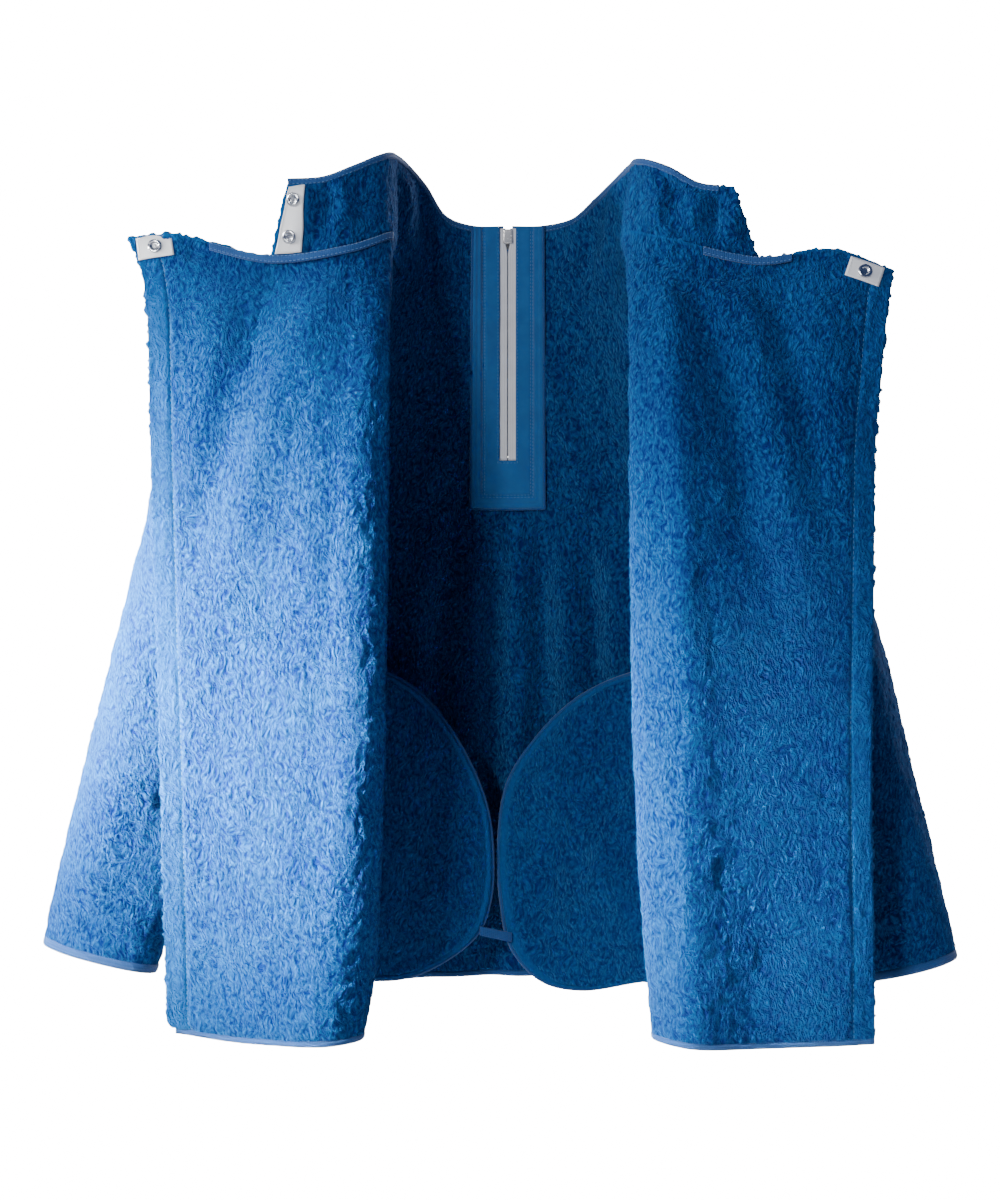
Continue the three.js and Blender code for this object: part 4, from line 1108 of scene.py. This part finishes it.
def pocketAt(name, a, b, layer):
    root, rim = pocketRoot(name, b), rimCurve(name, b)
    reach = np.linalg.norm(rim - root, axis=1, keepdims=True)
    inner = rim - (rim - root) * pocket["stripWidth"] / reach
    grid = mix(root[:, None], inner[:, None], a[None, :, None])
    most = pocket["puff"] if layer > 0 else pocket["puff"] / 2
    puff = most * (np.sin(np.pi * a)[None, :] * np.sin(np.pi * b)[:, None]) ** 2
    out = layer * (pocket["layerOut"] + puff) + pocketFolds(name, a, b, grid)
    return grid + slingNormal(sides[name]) * out[..., None]


def serged(along, angle):
    # overlocked thread: a wave along the edge, every 2.6 mm
    return 0.16 * np.sin(along * 2 * np.pi / 2.6 + 1.5 * np.sin(angle)) + 0 * angle


for name, side in sides.items():
    b = spaced(lambda w: rimCurve(name, w), [0, 1], rowCounts["pocket"])
    a = np.linspace(0, 1, 81)
    for layer, label in ((1, "outer"), (-1, "inner")):
        # the outer layer faces the front and is hardly seen, so it has every second row and column
        spread, rows = (a, b) if layer < 0 else (a[::2], b[::2])
        grid = pocketAt(name, spread, rows, layer)
        natural = gridNormals(grid)[len(rows) // 2, len(spread) // 2] @ slingNormal(side)
        nap = 0.85 * (1 - 0.75 * fade(spread, 0.955, 0.975))[None] * np.ones((len(rows), 1))
        fromRim = np.linalg.norm(grid - grid[:, -1:], axis=-1)
        groove = bump(fromRim, 4.5, 1.3) * 1.5
        grid = grid - slingNormal(side) * (layer * groove)[..., None]
        makeWall(
            f"pocket_layer_{name}_{label}", grid, [f"pocket_{name}_{label}"], outer=int(np.sign(natural)),
            fine=layer, nap=nap, seed=pileSeeds["pocket_" + label] + side, fringe=fringes["pocket"],
        )
    rimPath = rimCurve(name, spaced(lambda w: rimCurve(name, w), [0, 1], 420))
    inward = unit(pocketRoot(name, np.linspace(0, 1, 420)) - rimPath)
    makeStrip("pocket_edge_serged_" + name, rimPath + inward * (pocket["stripWidth"] / 2),
              np.broadcast_to(slingNormal(side), rimPath.shape), (3.8, 4.6),
              ["pocket_edge_" + name], puffs=serged)
stayStart = np.array([-26, slingDepth(26) - 6.8, -621])
stayEnd = np.array([4, slingDepth(4) - 6.8, -629])
across = np.linspace(0, 1, 25)[None, :, None]
down = np.linspace(0, 1, 9)[:, None, None]
stayGrid = mix(stayStart, stayEnd, across) + point(0, 0, -9.0) * down
stayNormal = unit(np.cross(stayEnd - stayStart, [0, 0, 1.0]))
stayNormal = stayNormal * np.sign(-stayNormal[1])
stayGrid = stayGrid + stayNormal * (1.2 * np.sin(across * np.pi) - 0.5)
makeSlab("pocket_stay_tape", stayGrid, np.broadcast_to(stayNormal, stayGrid.shape), 0.8, cloths["binding knit"],
         ["pocket_stay"])
print("pockets made")


# bindings on the hem, cuffs, collar and neck
hemMid = 1 - bindingShare / 2
neckRun = {"left": [3 / 7, 0.8], "right": [0.635, 0.775]}
tapeEnd = {"left": 1.0, "right": 0.945}


def softBinding(along, angle):
    # a little uneven, as the tape takes up the pile under it
    return 0.07 * np.sin(along / 5.1) * np.sin(along / 13.7 + 1) + 0 * angle


def stripNormals(grid, outer, ring=False):
    return gridNormals(grid, ring)[1] * outer


bands = {"hem": (6.2, 5.0), "cuff": (9.4, 5.0), "collar": (6.4, 5.2)}
neckTape = {"thick": 1.3, "in": 3.6, "rows": [0.004, 0.042]}
seams = {
    "blue": {"length": 2.6, "gap": 1.0},
    "edge": {"length": 3.2, "gap": 1.4, "width": 0.8, "lift": 0.9},
    "white": {"length": 2.0, "gap": 0.8, "width": 0.55, "height": 0.35, "lift": 0.45},
}
hemRows = hemMid + np.array([-0.004, 0, 0.004])
cuffRows = 0.99575 + np.array([-0.00075, 0, 0.00075])
collarRows = 1 - collarBinding / 2 + np.array([-0.01, 0, 0.01])

# each tape follows the middle one of three rows, which give it the cloth's normals
frontU = spaced(lambda w: bodyAt(w, np.ones_like(w), cut["frontDepth"]), [-1, 1], 360)
three = frontGridAt(frontU, hemRows)
makeStrip("hem_tape_front", three[1], stripNormals(three, 1), bands["hem"], ["hem_binding_front"],
          puffs=softBinding)
for name, side in sides.items():
    three = panelGrid(name, acrossPanel(name, 0.9, [0, 1], 320), hemRows)
    makeStrip("hem_tape_" + name, three[1], stripNormals(three, side), bands["hem"],
              ["hem_binding_" + name], puffs=softBinding)
    three = sleeveGrid(name, np.linspace(0, 2 * np.pi, 180, endpoint=False), cuffRows)
    makeStrip("cuff_tape_" + name, three[1], stripNormals(three, -side, True), bands["cuff"],
              ["cuff_binding_" + name], ring=True, puffs=softBinding)
    collarT = spaced(lambda w: collarAt(name, w, np.array([1.0]))[0], [slitShare, tapeEnd[name]], 300)
    three = collarGrid(name, collarT, collarRows)
    makeStrip("collar_tape_" + name, three[1], stripNormals(three, -side), bands["collar"],
              ["collar_binding_" + name], puffs=softBinding)
    inner = -stripNormals(three, -side)
    lineUp = unit(three[2] - three[0])
    for k, rise in enumerate((1.5, -1.6)):
        makeStitches(f"collar_tape_stitches_{name}_{k}", three[1] + lineUp * rise, inner, cloths["blue thread"],
                     "binding", lift=2.45, **seams["blue"])
    grid = panelGrid(name, acrossPanel(name, 0.02, neckRun[name], 130), np.linspace(*neckTape["rows"], 7))
    out = gridNormals(grid) * side
    rounded = 0.5 * np.sin(np.pi * np.linspace(0, 1, 7))[:, None, None]
    grid = grid - out * (neckTape["in"] + rounded)
    makeSlab("neck_tape_" + name, grid, out, neckTape["thick"], cloths["binding knit"],
             ["neck_binding_" + name])
    for k, row in ((0, 1), (1, 5)):
        makeStitches(f"neck_tape_stitches_{name}_{k}", grid[row], -out[row], cloths["blue thread"], "binding",
                     lift=0.7, **seams["blue"])
    # the facing's stitched line down the panel's free edge
    edgeV = spaced(lambda w: panelAt(name, np.array([0.97]), w)[:, 0], [0.045, bodyEnd], 300)
    grid = panelGrid(name, acrossPanel(name, 0.6, [foldStart, 1], 260), edgeV)
    distance = np.linalg.norm(grid - grid[:, -1:], axis=-1)
    place = np.argmin(np.abs(distance - cut["edgeFacing"]), axis=1)
    rows = np.arange(len(edgeV))
    out = gridNormals(grid) * side
    makeStitches("facing_stitches_" + name, grid[rows, place], -out[rows, place], cloths["blue thread"],
                 "sherpa", **seams["edge"])
print("bindings made")


# zip: facing, tapes, coil, slider and pull
zipWork = {
    "tapeIn": 3.15, "tapeHalf": 12.0, "facingIn": 4.6, "zipRun": 217, "facingRun": 263,
    "rows": [11.2, 13.4], "slotRow": (9.3, 219),
}


def facingRelief(x, d):
    # a raised serged rim, a ridge, then a stitched groove 12 mm in from the edge
    fromEdge = np.minimum(cut["facingHalf"] - np.abs(x)[None, :], zipWork["facingRun"] - d[:, None])
    ridge = 1.5 * fade(fromEdge, 0, 2) * (1 - fade(fromEdge, 8.5, 11))
    groove = -1.5 * bump(fromEdge, 12.3, 1.5) - 0.9 * bump(fromEdge, 5.6, 1.0)
    soft = 0.35 * noise(point(x[None, :] / 9, d[:, None] / 14, 0), 3)
    return ridge + groove + soft


def boxLine(half, low, across):
    # [x, d] pairs down one side, across the foot and up the other side
    down = np.linspace(4, low, 120)
    return np.concatenate([
        np.stack([np.full(120, -half), down], 1),
        np.stack([np.linspace(-half, half, across), np.full(across, low)], 1)[1:],
        np.stack([np.full(120, half), down[::-1]], 1)[1:],
    ])


def readGrid(grid, gridX, gridD, stops):
    # points of a grid at [x, d] pairs, and the cells that they lie in
    i = np.clip(np.searchsorted(gridD, stops[:, 1]) - 1, 0, len(gridD) - 2)
    j = np.clip(np.searchsorted(gridX, stops[:, 0]) - 1, 0, len(gridX) - 2)
    a = ((stops[:, 1] - gridD[i]) / (gridD[i + 1] - gridD[i]))[:, None]
    b = ((stops[:, 0] - gridX[j]) / (gridX[j + 1] - gridX[j]))[:, None]
    return mix(mix(grid[i, j], grid[i, j + 1], b), mix(grid[i + 1, j], grid[i + 1, j + 1], b), a), i, j


def makeFacing():
    run, zipRun = zipWork["facingRun"], zipWork["zipRun"]
    right = np.linspace(cut["slotHalf"], cut["facingHalf"], 24)
    x = np.concatenate([-right[::-1], np.linspace(-cut["slotHalf"], cut["slotHalf"], 9)[1:-1], right])
    d = np.concatenate([np.linspace(0, zipRun, 150), np.linspace(zipRun, run, 33)[1:]])
    grid = bandAt(x, d)
    normals = gridNormals(grid)
    grid = grid - normals * (zipWork["facingIn"] + facingRelief(x, d))[..., None]
    keep = np.ones((len(d) - 1, len(x) - 1), bool)
    keep[:149, 23:31] = False
    facing = makeSlab("zip_facing_cloth", grid, normals, 1.5, cloths["smooth facing"], ["zip_facing"],
                      keep=keep)
    path = np.concatenate([grid[:, 0], grid[-1], grid[::-1, -1]])
    out = np.concatenate([normals[:, 0], normals[-1], normals[::-1, -1]])
    clean = np.concatenate([[True], np.linalg.norm(np.diff(path, axis=0), axis=1) > 0.05])
    path, out = path[clean], out[clean]
    along = runAlong(path)
    even = np.linspace(0, along[-1], 700)
    path, out = readAlong(even, along, path), readAlong(even, along, out)
    makeStrip("zip_facing_rim", path - out * 0.3, out, (2.6, 2.4), puffs=serged, steps=8)
    lines = [boxLine(cut["facingHalf"] - inset, run - inset, 40) for inset in zipWork["rows"]]
    lines.append(boxLine(*zipWork["slotRow"], 16))
    for k, stops in enumerate(lines):
        place, i, j = readGrid(grid, x, d, stops)
        makeStitches(f"facing_row_{k}", place, -normals[i, j], cloths["blue thread"], "facing", length=2.4,
                     gap=0.9, width=0.7, lift=0.8)
    return facing


makeFacing()


def tapeStart(d):
    # the tapes stand 2.2 mm clear of the slider's post, and close below it
    return mix(2.2, 0.3, fade(np.asarray(d, float), 14, 26))


for name, side in sides.items():
    d = np.linspace(2, zipWork["zipRun"], 130)
    share = np.linspace(0, 1, 14)
    rows = [bandAt(side * mix(tapeStart(at), zipWork["tapeHalf"], share), np.array([at]))[0] for at in d]
    grid = np.stack(rows)
    normals = gridNormals(grid) * side
    grid = grid - normals * zipWork["tapeIn"]
    makeSlab("zip_tape_cloth_" + name, grid, normals, 0.7, cloths["herringbone tape"],
             ["zip_tape_" + name])


coil = {"pitch": 1.5, "run": (22, 214), "reach": 2.9, "out": 2.4, "rise": 1.05, "wire": (0.5, 0.42), "in": 1.45}


def makeCoil(coil):
    # two rows of coil loops, half a pitch apart: each an arched bead across the slit
    d = np.arange(*coil["run"], coil["pitch"])
    steps, sidesRound = 7, 6
    count = steps * sidesRound
    s = np.linspace(0, 1, steps)
    angle = np.linspace(0, 2 * np.pi, sidesRound, endpoint=False)
    quads = gridQuads(steps, sidesRound, ringColumns=True, turned=True)
    caps = [[0, k + 1, k + 2] for k in range(sidesRound - 2)]
    caps += [[count - sidesRound + k for k in (0, m + 2, m + 1)] for m in range(sidesRound - 2)]
    beads, quadSets, triSets = [], [], []
    for k, side in enumerate((-1, 1)):
        at = bandAt(np.array([-1.0, 0.0, 1.0]), d + k * coil["pitch"] / 2)
        normals = gridNormals(at)[:, 1]
        middle = at[:, 1] - normals * coil["in"]
        across = unit(at[:, 2] - at[:, 0])
        down = unit(np.cross(normals, across))
        # an open hook: out from the tape, over the slit and round its own end
        x = side * (coil["out"] - coil["reach"] * s)
        rise = coil["rise"] * np.sin(np.pi * s) - 0.2
        path = middle[:, None] + across[:, None] * x[None, :, None] + normals[:, None] * rise[None, :, None]
        ring = (down[:, None, None] * (np.cos(angle) * coil["wire"][0])[None, None, :, None]
                + normals[:, None, None] * (np.sin(angle) * coil["wire"][1])[None, None, :, None])
        beads.append((path[:, :, None] + ring).reshape(-1, 3))
        shift = ((np.arange(len(d)) + k * len(d)) * count)[:, None, None]
        order = slice(None, None, -1 if side > 0 else 1)
        quadSets.append((quads[:, order] + shift).reshape(-1, 4))
        triSets.append((np.array(caps)[:, order] + shift).reshape(-1, 3))
    points = np.concatenate(beads)
    finishPiece("zip_coil", points, [np.concatenate(quadSets), np.concatenate(triSets)], cloths["blue coil"],
                ["zip_chain"], uv=points[:, [0, 2]])


makeCoil(coil)


def softBox(centre, size, edge, steps=5):
    # a box with rounded edges: points of a cube's grid, pushed out from an inner box by the edge's radius
    centre, size = np.array(centre, float), np.array(size, float)
    edge = min(edge, size.min() / 2 * 0.99)
    core = size / 2 - edge
    line = np.linspace(-1, 1, steps)
    points, faces = [], []
    for axis in range(3):
        for sign in (-1, 1):
            a, b = (axis + 1) % 3, (axis + 2) % 3
            p = np.zeros((steps, steps, 3))
            p[..., axis] = sign
            p[..., a], p[..., b] = np.meshgrid(line, line, indexing="ij")
            # each point's inner anchor and the way out from it
            stretched = p * (core + edge)
            anchor = np.clip(stretched, -core, core)
            way = unit(stretched - anchor + 1e-9 * p)
            q = gridQuads(steps, steps, turned=True) + len(points) * steps * steps
            points.append((anchor + way * edge).reshape(-1, 3))
            faces.append(q if sign > 0 else q[:, ::-1])
    points, faces = np.concatenate(points), np.concatenate(faces)
    _, first, back = np.unique(np.round(points, 5), axis=0, return_index=True, return_inverse=True)
    return points[first] + centre, back.ravel()[faces]


def joinShapes(shapes):
    points, quads, shift = [], [], 0
    for p, q in shapes:
        points.append(p)
        quads.append(q + shift)
        shift += len(p)
    return np.concatenate(points), np.concatenate(quads)


sliderPlace = np.array([0, 98.8, 17.5])
slider = {"run": 13, "half": 4.6, "post": 1.4, "backIn": -5.6, "backOut": -4.4, "frontIn": 2.6, "frontOut": 3.8}


def makeSlider(slider):
    def at(p):
        return np.array(p) + sliderPlace

    backMiddle = (slider["backIn"] + slider["backOut"]) / 2
    frontMiddle = (slider["frontIn"] + slider["frontOut"]) / 2
    shapes = [
        softBox(at([0, backMiddle, 0]), [slider["half"] * 2, 1.2, slider["run"]], 0.55, 9),
        softBox(at([0, frontMiddle, 0]), [slider["half"] * 2, 1.2, slider["run"]], 0.55, 9),
        softBox(at([0, (slider["backOut"] + slider["frontIn"]) / 2, slider["run"] / 2 - 2.2]),
                [slider["post"] * 2, slider["frontIn"] - slider["backOut"] + 0.6, 3.6], 0.5, 7),
        softBox(at([0, frontMiddle + 1.9, 2.6]), [1.7, 2.6, 1.4], 0.5, 7),
        softBox(at([0, frontMiddle + 1.9, -2.6]), [1.7, 2.6, 1.4], 0.5, 7),
        softBox(at([0, frontMiddle + 3.2, 0]), [1.7, 1.2, 6.6], 0.5, 7),
    ]
    points, quads = joinShapes(shapes)
    finishPiece("zip_slider_body", points, [quads], metals["painted slider"], ["zip_slider"])


pull = {"hinge": [0, 5.3, 0], "top": 0.6, "low": -27.0, "half": 3.2, "hole": (1.8, -0.3, -6.3)}


def makePull(pull):
    # a flat tab with rounded ends: an outline and its hole, sampled at the same turns, with eased edges
    count = 64
    hinge = sliderPlace + pull["hinge"]
    angle = np.linspace(0, 2 * np.pi, count, endpoint=False) + np.pi / count
    holeHalf, holeTop, holeLow = pull["hole"]

    def outline(halfWide, high, deep, corner):
        x = np.sign(np.cos(angle)) * np.abs(np.cos(angle)) ** corner * halfWide
        z = np.sign(np.sin(angle)) * np.abs(np.sin(angle)) ** corner * (high - deep) / 2 + (high + deep) / 2
        return x, z

    rings = []
    for inset, y in ((0.35, -0.6), (0, -0.3), (0, 0.3), (0.35, 0.6)):
        x, z = outline(pull["half"] - inset, pull["top"] - inset, pull["low"] + inset, 0.42)
        rings.append(point(x, y, z))
    for inset, y in ((0.0, 0.6), (0.3, 0.3), (0.3, -0.3), (0.0, -0.6)):
        x, z = outline(holeHalf - inset, holeTop - inset, holeLow + inset, 0.45)
        rings.append(point(x, y, z))
    points = np.concatenate(rings) + hinge
    quads = gridQuads(len(rings), count, ringRows=True, ringColumns=True, turned=True)
    finishPiece("zip_pull_tab", points, [quads], metals["painted slider"], ["zip_pull"],
                body="pull_tab")


makeSlider(slider)
makePull(pull)
print("zip made")


# snaps and their tapes
snapShapes = {
    "socket": [[0, 0], [5.7, 0], [6.2, 0.3], [6.25, 0.9], [6.05, 1.4], [5.5, 1.8], [4.7, 2.0], [3.9, 1.95],
               [3.3, 1.6], [2.95, 1.05], [2.75, 0.75], [2.2, 0.68], [1.0, 0.72], [0, 0.74]],
    "stud": [[0, 0], [5.7, 0], [6.2, 0.25], [6.2, 0.7], [5.6, 0.95], [4.2, 0.75], [3.3, 0.95], [2.75, 1.3],
             [2.6, 1.9], [2.45, 2.25], [1.9, 2.4], [0.9, 2.42], [0, 2.42]],
}


def makeSnap(name, shape, place, axis, replaced):
    # turned about its axis from a profile of [radius, height]; the prongs show as six small dents
    profile = np.array(snapShapes[shape])
    count = 36
    angle = np.linspace(0, 2 * np.pi, count, endpoint=False)
    axis = unit(np.array(axis, float))
    first = unit(np.cross(axis, [0.0, 0.0, 1.0]))
    second = np.cross(axis, first)
    radius, height = profile[1:-1, 0][:, None], profile[1:-1, 1][:, None]
    turns = np.mod(angle, np.pi / 3)[None] - np.pi / 6
    dents = 0.12 * bump(radius, 4.9, 0.6) * bump(turns, 0, 0.2) * (height > 1)
    ring = (first * (radius * np.cos(angle))[..., None] + second * (radius * np.sin(angle))[..., None]
            + axis * (height - dents)[..., None])
    n = len(profile) - 2
    points = np.concatenate([ring.reshape(-1, 3), [axis * 0], [axis * profile[-1, 1]]]) + place
    quads = gridQuads(n, count, ringColumns=True)
    c = np.arange(count)
    low = np.stack([np.full(count, n * count), (c + 1) % count, c], 1)
    high = np.stack([np.full(count, n * count + 1), (n - 1) * count + c, (n - 1) * count + (c + 1) % count], 1)
    finishPiece(name, points, [quads, low, high], metals["snap nickel"], [replaced])


def nearPoint(grid, normals, target, axes=(0, 2)):
    # the grid point nearest to a place, measured across and down
    gap = sum((grid[..., k] - target[i]) ** 2 for i, k in enumerate(axes))
    i, j = np.unravel_index(np.argmin(gap), gap.shape)
    return grid[i, j], normals[i, j]


patches = {
    "left": {"x": -306, "z": 1.5, "wide": 31, "high": 20, "tilt": 9},
    "right": {"x": 308, "z": -20, "wide": 31, "high": 18, "tilt": -20},
}
for name, side in sides.items():
    patch = patches[name]
    grid = panelAt(name, np.linspace(0.8, 1, 200), np.linspace(0, 0.08, 60))
    normals = gridNormals(grid) * side
    centre, out = nearPoint(grid, normals, (patch["x"], patch["z"]))
    tilt = np.radians(patch["tilt"])
    ease = np.linspace(-0.5, 0.5, 17)[None, :, None]
    drop = np.linspace(0.5, -0.5, 11)[:, None, None]
    inward = -out
    slope = np.array([np.cos(tilt), 0, np.sin(tilt)])
    level = unit(slope - inward * np.dot(slope, inward))
    up = unit(np.cross(inward, level))
    up = up * np.sign(up[2])
    flat = centre + level * patch["wide"] * ease + up * patch["high"] * drop
    flat = flat + inward * (3.1 + 0.6 * np.sin(np.pi * (ease + 0.5)))
    makeSlab("corner_tape_" + name, flat, np.broadcast_to(out, flat.shape), 0.8, cloths["snap twill"],
             ["corner_patch_" + name])
    loop = np.concatenate([flat[1, 1:-1], flat[1:-1, -2], flat[-2, 1:-1][::-1], flat[1:-1, 1][::-1],
                           flat[1, 1:2]])
    makeStitches("corner_tape_stitches_" + name, loop, np.broadcast_to(inward, loop.shape),
                 cloths["white thread"], "snap_tape", **seams["white"])
    makeSnap("corner_snap_" + name, "socket", centre + inward * 4.0, inward, "snap_corner_" + name)

collarT = np.linspace(0.94, 0.992, 15)
collarH = np.linspace(0.02, 0.91, 41)
grid = collarGrid("left", collarT, collarH)
normals = gridNormals(grid)
normals = normals * np.sign(normals[20, 7] @ [0, -1, 0])
grid = grid + normals * 3.5
makeSlab("collar_snap_twill", grid, normals, 0.8, cloths["snap twill"], ["collar_snap_tape"])
loop = np.concatenate([grid[1:-1, 1], grid[-2, 1:-1], grid[1:-1, -2][::-1], grid[1, 1:-1][::-1]])
outs = np.concatenate([normals[1:-1, 1], normals[-2, 1:-1], normals[1:-1, -2][::-1], normals[1, 1:-1][::-1]])
makeStitches("collar_snap_twill_stitches", loop, outs, cloths["white thread"], "snap_tape", **seams["white"])
for label, height in (("upper", 0.74), ("lower", 0.24)):
    row = np.argmin(np.abs(collarH - height))
    column = np.argmin(np.abs(collarT - 0.966))
    makeSnap("collar_socket_" + label, "socket", grid[row, column] + normals[row, column] * 0.45,
             normals[row, column], "snap_collar_" + label)
    t = np.linspace(0.92, 0.96, 9)
    h = np.linspace(height - 0.05, height + 0.05, 9)
    mates = collarGrid("right", t, h)
    out = gridNormals(mates) * -1
    makeSnap("collar_stud_" + label, "stud", mates[4, 4] + out[4, 4] * 2.2, out[4, 4], "mate_collar_" + label)
for name, side in sides.items():
    u = side * (0.62 + np.linspace(-0.02, 0.02, 5))
    v = 0.07 + np.linspace(-0.01, 0.01, 5)
    spot = frontGridAt(u, v)
    out = gridNormals(spot)[2, 2] * side
    makeSnap("shoulder_stud_" + name, "stud", spot[2, 2] + out * 2.2, out, "mate_shoulder_" + name)
print("snaps made")


# what each cloth piece was cut to, in metres, and the trims sewn on it
cutSizes = {
    "back_left": ((0.418, 0.712), 0.2449, "folded", ["sleeve_cloth_left"],
                  ["hem_tape_left", "neck_tape_left", "neck_tape_stitches_left_0", "neck_tape_stitches_left_1",
                   "facing_stitches_left", "corner_tape_left", "corner_tape_stitches_left",
                   "corner_snap_left"]),
    "back_right": ((0.423, 0.712), 0.2527, "folded", ["sleeve_cloth_right"],
                   ["hem_tape_right", "neck_tape_right", "neck_tape_stitches_right_0",
                    "neck_tape_stitches_right_1", "facing_stitches_right", "corner_tape_right",
                    "corner_tape_stitches_right", "corner_snap_right"]),
    "front": ((0.609, 0.717), 0.3508, "hung", [],
              ["hem_tape_front", "zip_tape_cloth_left", "zip_tape_cloth_right", "zip_coil", "zip_slider_body",
               "shoulder_stud_left", "shoulder_stud_right"]),
    "sleeve_left": ((0.52, 0.618), 0.1818, "hung", ["front_body"], ["cuff_tape_left"]),
    "sleeve_right": ((0.52, 0.624), 0.1758, "hung", ["front_body"], ["cuff_tape_right"]),
    "collar_left": ((0.335, 0.09), 0.0221, "hung", ["front_body"],
                    ["collar_tape_left", "collar_tape_stitches_left_0", "collar_tape_stitches_left_1",
                     "collar_snap_twill", "collar_snap_twill_stitches", "collar_socket_upper",
                     "collar_socket_lower"]),
    "collar_right": ((0.343, 0.078), 0.0204, "hung", ["front_body"],
                     ["collar_tape_right", "collar_tape_stitches_right_0", "collar_tape_stitches_right_1",
                      "collar_stud_upper", "collar_stud_lower"]),
    "pocket_left_inner": ((0.211, 0.293), 0.0504, "hung", ["back_panel_left"], ["pocket_edge_serged_left"]),
    "pocket_left_outer": ((0.212, 0.293), 0.0505, "hung", ["back_panel_left"], []),
    "pocket_right_inner": ((0.235, 0.302), 0.0589, "hung", ["back_panel_right"],
                           ["pocket_edge_serged_right", "pocket_stay_tape"]),
    "pocket_right_outer": ((0.234, 0.302), 0.0591, "hung", ["back_panel_right"], []),
    "zip_facing": ((0.074, 0.267), 0.016, "hung", ["front_body"],
                   ["zip_facing_rim", "facing_row_0", "facing_row_1", "facing_row_2"]),
}
for name, (flat, area, held, restsOn, trims) in cutSizes.items():
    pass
